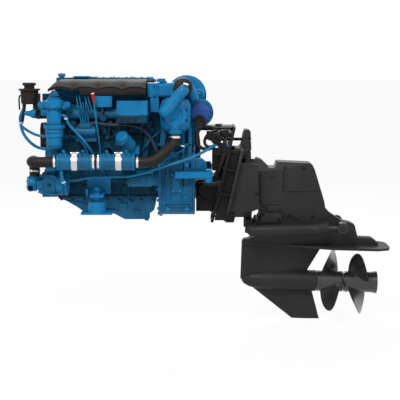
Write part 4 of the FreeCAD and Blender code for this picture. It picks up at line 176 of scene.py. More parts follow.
def sprayed_coat_group():
    """Two sizes of noise. The large one drifts the paint between its lit and its dusty
    colour, the small one is the casting's grain and gives the height for the bump."""
    tree, given, out = new_group(
        "sprayed_coat",
        [("Paint", "NodeSocketColor", (0.1, 0.3, 0.6, 1)), ("Dust", "NodeSocketColor", (0.05, 0.1, 0.2, 1)),
         ("Patch scale", "NodeSocketFloat", 9.0), ("Grain scale", "NodeSocketFloat", 420.0),
         ("Gloss", "NodeSocketFloat", 0.4)],
        [("Color", "NodeSocketColor"), ("Roughness", "NodeSocketFloat"), ("Height", "NodeSocketFloat")])
    where = put_node(tree, "ShaderNodeTexCoord").outputs["Object"]
    patches = put_node(tree, "ShaderNodeTexNoise", {"Vector": where, "Scale": given.outputs["Patch scale"],
                                                    "Detail": 5.0, "Roughness": 0.62})
    grain = put_node(tree, "ShaderNodeTexNoise", {"Vector": where, "Scale": given.outputs["Grain scale"],
                                                  "Detail": 3.0, "Roughness": 0.55})
    drift = put_node(tree, "ShaderNodeMapRange", {"Value": patches.outputs["Fac"], "From Min": 0.36,
                                                  "From Max": 0.66, "To Min": 0.0, "To Max": 1.0})
    speckle = put_node(tree, "ShaderNodeMapRange", {"Value": grain.outputs["Fac"], "From Min": 0.3,
                                                    "From Max": 0.7, "To Min": 0.9, "To Max": 1.08})
    tone = put_node(tree, "ShaderNodeMix", {0: drift.outputs[0], 6: given.outputs["Dust"],
                                            7: given.outputs["Paint"]}, data_type="RGBA")
    shade = put_node(tree, "ShaderNodeMix", {0: 1.0, 6: tone.outputs[2], 7: speckle.outputs[0]},
                     data_type="RGBA", blend_type="MULTIPLY")
    uneven = put_node(tree, "ShaderNodeMath", {0: patches.outputs["Fac"], 1: 0.22, 2: given.outputs["Gloss"]},
                      operation="MULTIPLY_ADD")
    tree.links.new(shade.outputs[2], out.inputs["Color"])
    tree.links.new(uneven.outputs[0], out.inputs["Roughness"])
    tree.links.new(grain.outputs["Fac"], out.inputs["Height"])
    return tree


sprayed_coat = sprayed_coat_group()


def coated(name, paint, dust, gloss, grain=420.0, patch=9.0, bump=0.25, depth=0.0004, specular=0.4, coat=0.0,
           metal=0.0):
    """A finish of the sprayed coat over the shader, with the grain as a shallow bump."""
    made = bpy.data.materials.new(name)
    made.use_nodes = True
    tree = made.node_tree
    shader = tree.nodes["Principled BSDF"]
    coat_node = put_node(tree, "ShaderNodeGroup", node_tree=sprayed_coat)
    for label, value in {"Paint": (*paint, 1), "Dust": (*dust, 1), "Patch scale": patch, "Grain scale": grain,
                         "Gloss": gloss}.items():
        coat_node.inputs[label].default_value = value
    relief = put_node(tree, "ShaderNodeBump", {"Height": coat_node.outputs["Height"], "Strength": bump,
                                               "Distance": depth})
    tree.links.new(coat_node.outputs["Color"], shader.inputs["Base Color"])
    tree.links.new(coat_node.outputs["Roughness"], shader.inputs["Roughness"])
    tree.links.new(relief.outputs["Normal"], shader.inputs["Normal"])
    shader.inputs["Specular IOR Level"].default_value = specular
    shader.inputs["Coat Weight"].default_value = coat
    shader.inputs["Metallic"].default_value = metal
    return made


def wear(finish, *names):
    """Gives CAD nodes their finish."""
    for name in names:
        nodes[name].data.materials.clear()
        nodes[name].data.materials.append(finish)


def skin(points, ends="fan"):
    """A surface over a table of points, rows along the piece and columns round it. Each four
    neighbours make one face, the last column joins the first, and each end row is closed by
    a fan round its middle or by one flat face."""
    rows, columns = points.shape[:2]
    number = np.arange(rows * columns).reshape(rows, columns)
    number = np.concatenate([number, number[:, :1]], axis=1)
    squares = np.stack([number[:-1, :-1], number[:-1, 1:], number[1:, 1:], number[1:, :-1]], -1)
    faces = [squares.reshape(-1, 4)]
    corners = points.reshape(-1, 3)
    if ends == "fan":
        corners = np.concatenate([corners, points[:1].mean(1), points[-1:].mean(1)])
        for ring, middle in ((number[0][::-1], rows * columns), (number[-1], rows * columns + 1)):
            faces.append(np.stack([ring[:-1], ring[1:], np.full(len(ring) - 1, middle)], -1))
    elif ends == "flat":
        faces += [number[:1, :columns][:, ::-1], number[-1:, :columns]]
    return corners, faces


def dress(name, parts, finish, body="root", replaces=(), crease=38):
    """Joins skins into one named piece with its faces outward, its finish and its body."""
    corners, faces, count = [], [], 0
    for part_corners, part_faces in parts:
        corners.append(part_corners)
        for table in part_faces:
            faces += (table + count).tolist()
        count += len(part_corners)
    mesh = bpy.data.meshes.new(name)
    mesh.from_pydata(np.concatenate(corners).tolist(), [], faces)
    work = bmesh.new()
    work.from_mesh(mesh)
    bmesh.ops.remove_doubles(work, verts=work.verts, dist=1e-6)
    bmesh.ops.recalc_face_normals(work, faces=work.faces)
    work.to_mesh(mesh)
    work.free()
    mesh.shade_smooth()
    mesh.set_sharp_from_angle(angle=math.radians(crease))
    mesh.materials.append(finish)
    made = bpy.data.objects.new(name, mesh)
    scene.collection.objects.link(made)
    if body:
        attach(made, body)
    if replaces:
        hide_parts(*replaces)
    return made


def square_to(along):
    """Two directions square to a line and to each other."""
    along = np.array(along, float) / np.linalg.norm(along)
    aside = np.cross(along, (0, 0, 1) if abs(along[2]) < 0.9 else (0, 1, 0))
    aside /= np.linalg.norm(aside)
    return along, aside, np.cross(along, aside)


def turned(at, along, profile, sides=32, ends="fan"):
    """A profile carried round an axis: a point at angle t is the given distance along the axis
    plus the given radius times the cosine of t one way and the sine of t the other."""
    along, aside, up = square_to(along)
    angle = np.linspace(0, 2 * math.pi, sides, endpoint=False)
    ring = np.cos(angle)[:, None] * aside + np.sin(angle)[:, None] * up
    profile = np.array(profile, float)
    points = np.array(at, float) + profile[:, :1, None] * along + profile[:, 1:, None] * ring
    return skin(points, ends=ends)


def band(at, along, low, high, width, edge=0.001, sides=40):
    """A raised ring that climbs from the low radius to the high one over each of its edges."""
    return turned(at, along, [(0, low), (edge, high), (width - edge, high), (width, low)], sides)


def collar(at, along, inner, outer, width, sides=40):
    """A ring with a hole through it, its outer edges clipped."""
    clip = min(0.0007, (outer - inner) / 3)
    profile = [(0, inner), (0, outer - clip), (clip, outer), (width - clip, outer), (width, outer - clip),
               (width, inner), (0, inner)]
    return turned(at, along, profile, sides, ends=None)


def slab(outline, plane, start, depth, edge=0.002):
    """A flat outline given a thickness. Of its four rows the outer two are drawn in by the
    edge, each corner along the sum of its two sides' normals, so the rim is chamfered."""
    flat = np.array(outline, float)
    before = np.roll(flat, 1, 0)
    run_in = flat - before
    run_out = np.roll(run_in, -1, 0)
    area = (before[:, 0] * flat[:, 1] - flat[:, 0] * before[:, 1]).sum()
    turn = 1.0 if area > 0 else -1.0
    normals = [np.stack([-run[:, 1], run[:, 0]], 1) / np.linalg.norm(run, axis=1)[:, None]
               for run in (run_in, run_out)]
    both = normals[0] + normals[1]
    inward = both / (1 + (normals[0] * normals[1]).sum(1))[:, None].clip(0.4) * turn * edge
    rows = [(flat + inward, start), (flat, start + edge), (flat, start + depth - edge),
            (flat + inward, start + depth)]
    order = {"side": (0, 2, 1), "front": (2, 0, 1)}[plane]
    stacked = np.stack([np.column_stack([places, np.full(len(flat), level)]) for places, level in rows])
    return skin(stacked[:, :, order], ends="flat")


def block_of(low, high, edge=0.003):
    """A cast lump between two corners, its edges chamfered."""
    outline = [(low[0], low[2]), (high[0], low[2]), (high[0], high[2]), (low[0], high[2])]
    return slab(outline, "side", low[1], high[1] - low[1], edge)


def side_block(hand, along, off, up, edge=0.003):
    """A cast lump on one side: its reach along, its distances off the middle, its heights."""
    near, far = sorted((hand * off[0], hand * off[1]))
    return block_of((along[0], near, up[0]), (along[1], far, up[1]), edge)


def round_spots(count, radius, first=0.0):
    """Places evenly spaced round a circle, as distances from its middle."""
    angles = first + np.arange(count) * 2 * math.pi / count
    return [(radius * math.cos(angle), radius * math.sin(angle)) for angle in angles]


def screw_heads(places, along, across=0.013, rise=0.009):
    """Flanged hexagon heads. Each is five rings of twelve points, whose radius swings between
    the flats and the corners of a hexagon above the round flange."""
    along, aside, up = square_to(along)
    angle = np.arange(12) * math.pi / 6
    hexagon = np.where(np.arange(12) % 2 == 0, across / 2 / math.cos(math.pi / 6), across / 2)
    rows = [(0.0, 0.78 * across * np.ones(12)), (0.16 * rise, 0.78 * across * np.ones(12)),
            (0.3 * rise, hexagon), (0.88 * rise, hexagon), (rise, hexagon * 0.84)]
    ring = np.cos(angle)[:, None] * aside + np.sin(angle)[:, None] * up
    base = np.stack([lift * along + radius[:, None] * ring for lift, radius in rows])
    return [skin(base + np.array(place, float)) for place in places]


def land_on(names, places, towards):
    """Where lines in one direction first meet the named nodes, for lines through the places."""
    graph = bpy.context.evaluated_depsgraph_get()
    trees = [BVHTree.FromObject(nodes[name], graph) for name in names]
    towards = Vector(towards).normalized()
    landed = []
    for place in places:
        start = Vector(place) - towards * 2
        hits = [tree.ray_cast(start, towards) for tree in trees]
        near = [hit for hit in hits if hit[0] is not None]
        if near:
            landed.append(np.array(min(near, key=lambda hit: hit[3])[0]))
    return landed


def screws_on(names, places, towards, across=0.013, rise=0.009):
    """Screw heads facing back along the lines, where the lines meet the named nodes."""
    return screw_heads(land_on(names, places, towards), [-part for part in towards], across, rise)


aft = (1, 0, 0)
forward = (-1, 0, 0)
starboard = (0, 1, 0)
port = (0, -1, 0)
upward = (0, 0, 1)
downward = (0, 0, -1)
# The engine wears one blue paint. The first finish below is that paint. The second is a darker copy of it,
# painted half shade for parts partly in shadow. The third is darker still, painted shade for the block, the
# head and parts deep among the others.
bright_blue = coated("bright_blue_paint", (0.003, 0.178, 0.400), (0.002, 0.140, 0.325), 0.34, specular=0.22)
half_shaded_blue = coated("half_shaded_blue_paint", (0.003, 0.122, 0.265), (0.002, 0.076, 0.165), 0.4, specular=0.22)
painted_shade_blue = coated("painted_shade_blue_paint", (0.002, 0.062, 0.118), (0.001, 0.030, 0.058), 0.5, specular=0.16)
# The block wears the darkest copy of the blue: painted shade for where it sits under the parts above it.
wear(painted_shade_blue, "cylinder_block")

sides = ((-1, starboard), (1, port))
bays = [-0.853 + 0.104 * k for k in range(5)]
gallery_level = 0.236
rail_level = 0.006
lumps = []
for hand, inward in sides:
    outward = (0, hand, 0)
    for level, radius in ((gallery_level, 0.012), (0.098, 0.009), (rail_level, 0.010)):
        lumps.append(band((-0.886, hand * 0.136, level), aft, radius - 0.003, radius, 0.481, 0.003, 16))
    for x in bays:
        lumps.append(turned((x, hand * 0.13, gallery_level), outward,
                            [(0, 0.019), (0.014, 0.019), (0.018, 0.014)], 20))
        lumps.append(turned((x, hand * 0.13, rail_level), outward,
                            [(0, 0.017), (0.013, 0.017), (0.016, 0.012)], 20))
        lumps.append(side_block(hand, (x - 0.031, x + 0.031), (0.128, 0.134), (0.118, 0.205)))
        lumps.append(side_block(hand, (x - 0.036, x + 0.004), (0.128, 0.136), (-0.062, -0.016)))
        lumps.append(turned((x + 0.028, hand * 0.131, -0.038), outward,
                            [(0, 0.015), (0.006, 0.015), (0.007, 0.011), (0.003, 0.009)], 20))
dress("block_castings", lumps, painted_shade_blue)

heads = []
for hand, inward in sides:
    outward = (0, hand, 0)
    for level in (0.268, 0.077):
        places = [(x, 0, level) for x in np.linspace(-0.885, -0.41, 10)]
        heads += screws_on(["cylinder_block"], places, inward, 0.012)
    heads += screw_heads([(x, hand * 0.148, gallery_level) for x in bays], outward, 0.014)
dress("block_screws", heads, half_shaded_blue)

# Oil pan
# A pressed and welded pan, deep aft and shallow forward, on a flange with one row of screws
# each side. Its drain plug and level sender sit low on the deep part.

wear(half_shaded_blue, "oil_pan")
rail = [(x, hand * 0.117, 0) for hand in (-1, 1) for x in np.linspace(-0.89, -0.415, 9)]
heads = screws_on(["oil_pan"], rail, upward, 0.012)
lumps = []
for hand in (-1, 1):
    outward = (0, hand, 0)
    lumps += [turned((x, hand * 0.108, -0.093), outward,
                     [(0, 0.014), (0.014, 0.014), (0.015, 0.010), (0.007, 0.008)], 24)
              for x in (-0.581, -0.524)]
    lumps.append(side_block(hand, (-0.592, -0.549), (0.104, 0.114), (-0.152, -0.112)))
    lumps.append(turned((-0.50, hand * 0.104, -0.165), outward,
                        [(0, 0.016), (0.010, 0.016), (0.014, 0.011)], 24))
    rib = [(-0.86, -0.098), (-0.80, -0.106), (-0.73, -0.128), (-0.66, -0.142), (-0.60, -0.152),
           (-0.60, -0.158), (-0.66, -0.149), (-0.73, -0.135), (-0.80, -0.113), (-0.86, -0.104)]
    lumps.append(slab(rib, "side", min(hand * 0.104, hand * 0.113), 0.009, 0.002))
lumps += screw_heads([(-0.47, 0.0, -0.206), (-0.56, 0.04, -0.206)], downward, 0.02, 0.008)
dress("pan_castings", lumps, half_shaded_blue)
dress("pan_screws", heads, painted_shade_blue)

# Timing case, belt and pulleys
# The aluminium case closes the front of the block and carries the pumps. The belt runs over
# the crank, coolant pump and alternator pulleys behind a moulded guard.

moulded_black = coated("moulded_black_plastic", (0.018, 0.015, 0.013), (0.011, 0.009, 0.008), 0.48,
                       grain=1500, patch=12.0, bump=0.30, depth=0.0002, specular=0.2)
belt_rubber = coated("belt_rubber", (0.018, 0.018, 0.018), (0.010, 0.010, 0.010), 0.5, grain=1400, patch=30.0,
                     bump=0.4)
pulley_steel = coated("pulley_steel", (0.34, 0.34, 0.35), (0.20, 0.20, 0.21), 0.26, grain=800, patch=24.0,
                      bump=0.12, metal=1.0)
wear(half_shaded_blue, "timing_case")
wear(moulded_black, "belt_guard")
wear(belt_rubber, "drive_belt")
wear(pulley_steel, "crank_pulley", "coolant_pump_pulley", "alternator_pulley", "crankshaft")

edge_spots = [(0, -0.105, -0.06), (0, 0, -0.066), (0, 0.105, -0.06), (0, 0.112, 0.03), (0, 0.112, 0.12),
              (0, 0.112, 0.2), (0, 0.08, 0.272), (0, -0.03, 0.275), (0, -0.105, 0.272), (0, -0.112, 0.2),
              (0, -0.112, 0.12), (0, -0.152, 0.062), (0, -0.235, 0.055), (0, -0.24, -0.055),
              (0, -0.15, -0.062)]
heads = screws_on(["timing_case"], edge_spots, aft)
port_side = [(-0.935, 0, z) for z in (-0.05, 0.0, 0.05)]
heads += screws_on(["timing_case"], port_side, starboard)
dress("case_screws", heads, painted_shade_blue)
hub_screws = screw_heads([(-0.9825, y, z) for y, z in round_spots(6, 0.03)], forward, 0.011, 0.006)
dress("crank_pulley_screws", hub_screws, pulley_steel, body="crank")
covers = [turned((-0.962, y, z), forward, [(0, r + 0.004), (0.004, r + 0.004), (0.006, r)], 36)
          for y, z, r in ((0.09, 0.06, 0.03), (-0.07, 0.20, 0.022), (-0.07, 0.12, 0.022))]
covers.append(turned((-0.962, -0.205, 0.0), forward, [(0, 0.05), (0.004, 0.05), (0.006, 0.046)], 40))
dress("case_covers", covers, half_shaded_blue)

# Cylinder head and rocker cover
# The head is cast iron with a row of studs each side; the ribbed aluminium rocker cover is
# screwed down on a gasket and carries the oil filler.

# The head wears the darkest copy of the blue: painted shade under the cover and manifolds.
wear(painted_shade_blue, "cylinder_head")
wear(half_shaded_blue, "valve_cover")
wear(bright_blue, "oil_filler_cap")
heads = []
for hand, inward in sides:
    places = [(x, 0, z) for x in np.linspace(-0.93, -0.42, 9) for z in (0.302, 0.388)]
    heads += screws_on(["cylinder_head"], places, inward, 0.012)
top_spots = [(x, 0.098, 0) for x in np.linspace(-0.9, -0.445, 6)]
heads += screws_on(["valve_cover"], top_spots, downward, 0.012, 0.004)
dress("head_screws", heads, half_shaded_blue)
crown = [block_of((-0.830, -0.012, 0.532), (-0.750, 0.050, 0.5415)),
         block_of((-0.441, -0.022, 0.500), (-0.414, 0.030, 0.5345)),
         turned((-0.415, 0.004, 0.519), aft, [(0, 0.008), (0.012, 0.008), (0.014, 0.005)], 20)]
dress("rocker_cover_pads", crown, bright_blue)
ribs = []
for x in np.linspace(-0.84, -0.48, 10):
    spot = land_on(["valve_cover"], [(x, 0.075, 0)], downward)
    ribs += [block_of((x - 0.004, 0.052, at[2] - 0.002), (x + 0.004, 0.1, at[2] + 0.003), 0.0015)
             for at in spot]
dress("rocker_cover_ribs", ribs, half_shaded_blue)

# Sound cover
# A soft black moulding over the injectors. Its crown falls towards the port side to a line
# of shallow arches that meet in sharp notches, and a plain skirt hangs below the arches.

cover_black = coated("cover_black_plastic", (0.021, 0.018, 0.016), (0.013, 0.011, 0.010), 0.55, grain=1300,
                     patch=7.0, bump=0.35, depth=0.0003, specular=0.14)


def sound_cover():
    """Columns go across the cover and rows along it. The arch line is a half sine raised to
    0.7 between notches, and everything outboard of the crown is lowered by the same wave,
    fading out towards the crown."""
    along = np.linspace(-0.942, -0.446, 249)
    arch = np.abs(np.sin(math.pi * (along + 0.943) / 0.1265)) ** 0.7
    line = 0.477 + 0.016 * arch
    nose = np.clip((along + 0.942) / 0.05, 0, 1)
    top = line + 0.004 + (0.5215 - line) * nose ** 0.8
    low = np.where(along < -0.778, line - 0.012, 0.449)
    across = [(0.018, top - 0.016), (0.010, top - 0.005), (-0.02, top), (-0.075, top),
              (-0.105, top * 0.9 + line * 0.1), (-0.135, top * 0.66 + line * 0.34 + 0.001 * arch),
              (-0.160, top * 0.33 + line * 0.67 + 0.002 * arch), (-0.178, line + 0.0035),
              (-0.1855, line + 0.0012), (-0.187, line - 0.001), (-0.183, line - 0.004),
              (-0.186, (line + low) / 2), (-0.187, low + 0.002), (-0.185, low), (-0.182, low + 0.001),
              (-0.180, line - 0.007), (-0.150, top * 0.4 + line * 0.6 - 0.006), (-0.06, top - 0.006),
              (0.008, top - 0.020)]
    points = np.stack([np.column_stack([along, np.full(len(along), y), z]) for y, z in across], axis=1)
    return skin(points, ends="flat")


cover_tail = block_of((-0.450, -0.058, 0.490), (-0.409, 0.017, 0.5205), 0.006)
dress("sound_cover", [sound_cover(), cover_tail], cover_black,
      replaces=("engine_cover",), crease=55)
dents = [turned((x, -0.05, 0.517), upward, [(0, 0.013), (0.0055, 0.013), (0.007, 0.010), (0.005, 0.008)], 20)
         for x in (-0.878, -0.753, -0.627, -0.50)]
dress("sound_cover_grommets", dents, moulded_black)

# Inlet side
# A cast inlet log with runners to the head, the injection unit with its steel pipes, and two
# painted boxes on brackets. Hoses and a wrapped loom run between them.

dark_steel = coated("dark_steel", (0.10, 0.15, 0.18), (0.05, 0.09, 0.11), 0.3, grain=900, patch=20.0,
                    bump=0.1, metal=0.6)
wrap_black = coated("loom_wrap", (0.006, 0.030, 0.052), (0.003, 0.016, 0.028), 0.5, grain=1400, patch=40.0,
                    bump=0.5)
wear(half_shaded_blue, "intake_manifold", "fuel_injection")
wear(bright_blue, "control_boxes")


def route_line(points):
    """The line of a NURBS spline of order 3 with the route's points as its control points."""
    curve = bpy.data.curves.new("route", "CURVE")
    curve.dimensions = "3D"
    curve.resolution_u = 10
    spline = curve.splines.new("NURBS")
    spline.points.add(len(points) - 1)
    for control, place in zip(spline.points, points):
        control.co = (*place, 1)
    spline.order_u = 3
    spline.use_endpoint_u = True
    holder = bpy.data.objects.new("route", curve)
    mesh = bpy.data.meshes.new_from_object(holder)
    line = np.zeros(len(mesh.vertices) * 3)
    mesh.vertices.foreach_get("co", line)
    bpy.data.objects.remove(holder)
    bpy.data.meshes.remove(mesh)
    return line.reshape(-1, 3)


def tube(points, radius, columns=16, ribs=0.0):
    """A round section carried along a route. Each ring stands square to the line and starts
    from the spoke of the ring before it, so the tube doesn't twist; ribs swell every other
    ring, as on a convoluted sleeve."""
    line = route_line(points)
    ahead = np.gradient(line, axis=0)
    ahead /= np.linalg.norm(ahead, axis=1)[:, None]
    spoke = square_to(ahead[0])[1]
    spokes = []
    for direction in ahead:
        spoke = spoke - direction * (spoke @ direction)
        spoke = spoke / np.linalg.norm(spoke)
        spokes.append(spoke)
    spokes = np.array(spokes)[:, None]
    other = np.cross(ahead[:, None], spokes)
    angle = np.linspace(0, 2 * math.pi, columns, endpoint=False)[None, :, None]
    swell = np.ones(len(line)) * radius
    swell[1::2] += ribs
    points = line[:, None] + swell[:, None, None] * (np.cos(angle) * spokes + np.sin(angle) * other)
    return skin(points)


pipes = []
for top_x, low_x in ((-0.800, -0.782), (-0.785, -0.765), (-0.757, -0.733), (-0.742, -0.718)):
    pipes.append(tube([(top_x, -0.150, 0.446), (top_x + 0.004, -0.205, 0.436), (low_x, -0.213, 0.380),
                       (low_x + 0.001, -0.200, 0.360), (low_x + 0.002, -0.180, 0.356)], 0.0028, 10))
for top_x, low_x in ((-0.776, -0.744), (-0.762, -0.728), (-0.746, -0.688)):
    pipes.append(tube([(top_x, -0.176, 0.330), (top_x + 0.004, -0.196, 0.322), (low_x, -0.200, 0.258),
                       (low_x + 0.006, -0.178, 0.232), (low_x + 0.008, -0.140, 0.226)], 0.0028, 10))
hose_blue = coated("hose_blue", (0.006, 0.190, 0.380), (0.004, 0.135, 0.280), 0.36, grain=900, patch=20.0,
                   bump=0.15, specular=0.25)
dress("injector_pipes", pipes, hose_blue)

clutter = []
for k in range(4):
    x = -0.82 + 0.118 * k
    clutter.append(turned((x, -0.13, 0.300), port, [(0, 0.017), (0.030, 0.017), (0.032, 0.021),
                                                    (0.042, 0.021), (0.045, 0.015), (0.058, 0.014),
                                                    (0.062, 0.010)], 20))
    clutter.append(block_of((x + 0.03, -0.166, 0.246), (x + 0.062, -0.128, 0.282)))
    clutter.append(turned((x + 0.046, -0.160, 0.264), port, [(0, 0.012), (0.012, 0.012), (0.016, 0.007)], 16))
clutter.append(turned((-0.663, -0.168, 0.334), port, [(0, 0.02), (0.028, 0.02), (0.030, 0.017),
                                                      (0.038, 0.016), (0.04, 0.008)], 28))
clutter.append(turned((-0.628, -0.160, 0.306), port, [(0, 0.013), (0.03, 0.013), (0.034, 0.008)], 24))
clutter.append(block_of((-0.702, -0.176, 0.276), (-0.640, -0.150, 0.300)))
clutter.append(slab([(-0.615, 0.240), (-0.56, 0.240), (-0.535, 0.318), (-0.60, 0.330)], "side", -0.166,
                    0.010))
clutter.append(slab([(-0.47, 0.12), (-0.44, 0.12), (-0.415, 0.315), (-0.445, 0.320)], "side", -0.170, 0.010))
dress("inlet_side_castings", clutter, painted_shade_blue)

loom = [tube([(-0.83, -0.166, 0.265), (-0.80, -0.186, 0.290), (-0.72, -0.190, 0.312),
              (-0.63, -0.190, 0.298), (-0.55, -0.192, 0.302), (-0.47, -0.196, 0.288),
              (-0.415, -0.186, 0.232), (-0.392, -0.200, 0.165)], 0.0095, 14, 0.0012),
        tube([(-0.60, -0.190, 0.301), (-0.578, -0.200, 0.322), (-0.560, -0.205, 0.330)], 0.006, 12, 0.0009),
        tube([(-0.66, -0.190, 0.303), (-0.668, -0.196, 0.35), (-0.665, -0.196, 0.386),
              (-0.66, -0.18, 0.394)], 0.006, 12, 0.0009),
        tube([(-0.47, -0.195, 0.290), (-0.44, -0.205, 0.34), (-0.447, -0.2, 0.38),
              (-0.468, -0.18, 0.40)], 0.007, 12, 0.0009)]
for x in (-0.760, -0.700, -0.640, -0.585, -0.530, -0.480):
    loom.append(tube([(x, -0.160, 0.222), (x + 0.008, -0.178, 0.240), (x + 0.003, -0.184, 0.272),
                      (x + 0.012, -0.188, 0.296)], 0.0042, 10))
dress("wiring_loom", loom, wrap_black)

box_trim = []
for x0, x1, z0, z1 in ((-0.702, -0.616, 0.391, 0.446), (-0.586, -0.466, 0.352, 0.422)):
    front = land_on(["control_boxes"], [((x0 + x1) / 2, 0, (z0 + z1) / 2)], starboard)[0][1]
    for x in (x0 + 0.007, x1 - 0.007):
        box_trim += screw_heads([(x, front, z0 + 0.007), (x, front, z1 - 0.007)], port, 0.006, 0.002)
dress("control_box_trim", box_trim, half_shaded_blue)
front = land_on(["control_boxes"], [(-0.526, 0, 0.39)], starboard)[0][1]
dress("control_box_end", [block_of((-0.470, front, 0.352), (-0.434, front + 0.11, 0.422))], bright_blue)
socket_panel = [block_of((-0.587, front - 0.0015, 0.313), (-0.434, front + 0.10, 0.351))]
socket_panel += [block_of((x - 0.003, front - 0.005, 0.318), (x + 0.003, front, 0.348), 0.001)
                 for x in np.linspace(-0.575, -0.446, 9)]
dress("control_box_socket_panel", socket_panel, painted_shade_blue)
plugs = [block_of((x - 0.012, front - 0.006, 0.321), (x + 0.012, front + 0.01, 0.345))
         for x in (-0.564, -0.532, -0.498)]
dress("control_box_plugs", plugs, moulded_black)

# Coolers
# Two drawn tube coolers end to end, bolted down through bosses on top and held by polished
# bands on arms from the block. A short hose with two clamps joins them.

bright_steel = coated("bright_steel", (0.78, 0.78, 0.79), (0.58, 0.58, 0.59), 0.14, grain=800, patch=24.0,
                      bump=0.06, metal=1.0)
cooler_axis = (-0.3, 0.121)
wear(half_shaded_blue, "cooler_tubes")
wear(bright_steel, "cooler_bands")
rims = []
for x in (-0.880, -0.712, -0.668, -0.503):
    rims.append(band((x - 0.004, *cooler_axis), aft, 0.0395, 0.0422, 0.008, sides=44))
dress("cooler_rims", rims, bright_blue)
bosses = []
for x in (-0.854, -0.756, -0.638, -0.540):
    bosses += screw_heads([(x, -0.3, 0.1745)], upward, 0.013, 0.008)
    bosses.append(turned((x - 0.013, -0.322, 0.152), upward, [(0, 0.005), (0.012, 0.005), (0.014, 0.003)],
                         12))
    bosses.append(turned((x + 0.013, -0.322, 0.152), upward, [(0, 0.005), (0.012, 0.005), (0.014, 0.003)],
                         12))
dress("cooler_boss_screws", bosses, bright_blue)
band_locks = []
for x in (-0.798, -0.578):
    band_locks.append(block_of((x - 0.011, -0.316, 0.160), (x + 0.011, -0.296, 0.172), 0.002))
    band_locks.append(turned((x - 0.02, -0.306, 0.168), aft, [(0, 0.005), (0.040, 0.005)], 12))
    for shift in (-0.013, 0.013):
        band_locks.append(collar((x + shift - 0.002, *cooler_axis), aft, 0.0405, 0.0431, 0.004, 44))
dress("cooler_band_locks", band_locks, bright_steel)

# Large hoses and their clamps
# Black reinforced rubber, 54 mm outside, moulded to shape. Each end is drawn over its stub
# and pinched by a steel worm clamp.

hose_black = coated("hose_black_rubber", (0.016, 0.011, 0.009), (0.009, 0.007, 0.006), 0.46, grain=900,
                    patch=26.0, bump=0.4, depth=0.0004, specular=0.22)
front_route = [(-0.8863, *cooler_axis), (-0.95, *cooler_axis), (-1.016, *cooler_axis),
               (-1.016, -0.245, 0.121), (-1.016, -0.19, 0.118), (-1.016, -0.19, 0.08),
               (-1.016, -0.19, 0.0403)]
rear_route = [(-0.4967, *cooler_axis), (-0.44, *cooler_axis), (-0.395, -0.3, 0.128), (-0.345, -0.272, 0.176),
              (-0.305, -0.238, 0.208), (-0.296, -0.235, 0.232), (-0.296, -0.235, 0.2577)]
charge_elbow = turned((-0.256, -0.266, 0.490), starboard, [(0, 0.026), (0.004, 0.040), (0.012, 0.047),
                                                           (0.020, 0.049), (0.050, 0.049), (0.062, 0.044),
                                                           (0.070, 0.034)], 48)
exhaust_route = [(-0.2, 0.264, 0.0397), (-0.2, 0.264, -0.042), (-0.18, 0.235, -0.104),
                 (-0.152, 0.165, -0.112), (-0.152, 0.0753, -0.112)]
joint_profile = [(0, 0.036), (0.001, 0.038), (0.007, 0.038), (0.009, 0.0365), (0.020, 0.0378),
                 (0.031, 0.0365), (0.033, 0.038), (0.039, 0.038), (0.040, 0.036)]
large_hoses = [tube(front_route, 0.027, 28), tube(rear_route, 0.027, 28), charge_elbow,
               tube(exhaust_route, 0.037, 32), turned((-0.711, *cooler_axis), aft, joint_profile, 44)]
dress("cooler_hoses", large_hoses, hose_black, replaces=("rubber_hoses",), crease=60)


def worm_clamp(at, along, radius, lock):
    """A band with rolled edges round the hose, with the housing of its screw on the side named
    by the lock direction."""
    along, _, _ = square_to(along)
    at = np.array(at, float)
    lock = np.array(lock, float)
    lock = lock - along * (lock @ along)
    lock /= np.linalg.norm(lock)
    screw = np.cross(along, lock)
    seat = at + along * 0.006 + lock * (radius + 0.0035)
    strap = turned(at, along, [(0, radius - 0.001), (0.0006, radius + 0.0022), (0.0022, radius + 0.0016),
                               (0.0098, radius + 0.0016), (0.0114, radius + 0.0022),
                               (0.012, radius - 0.001)], 40)
    housing = band(seat - screw * 0.010, screw, 0.0042, 0.0052, 0.020, sides=12)
    head = screw_heads([seat + screw * 0.010], screw, 0.007, 0.005)
    return [strap, housing] + head


clamps = []
for at, along, radius, lock in (((-0.8923, *cooler_axis), forward, 0.0272, (0, -0.6, 1)),
                                ((-1.016, -0.19, 0.0623), upward, 0.0272, port),
                                ((-0.4907, *cooler_axis), aft, 0.0272, (0, -0.6, 1)),
                                ((-0.296, -0.235, 0.2377), upward, 0.0272, (-1, -1, 0)),
                                ((-0.244, -0.292, 0.503), (0.25, 0, 0.97), 0.0115, port),
                                ((-0.2, 0.264, 0.0197), upward, 0.0372, starboard),
                                ((-0.709, *cooler_axis), aft, 0.0382, (0, -0.4, 1)),
                                ((-0.685, *cooler_axis), aft, 0.0382, (0, -0.4, 1))):
    clamps += worm_clamp(at, along, radius, lock)
dress("hose_clamps_detailed", clamps, bright_steel, replaces=("hose_clamps",))

# Small hoses and pipes
# Painted fuel, oil and water lines on the port side, slim steel pipes and a long thin water
# pipe from the oil cooler to the transom.

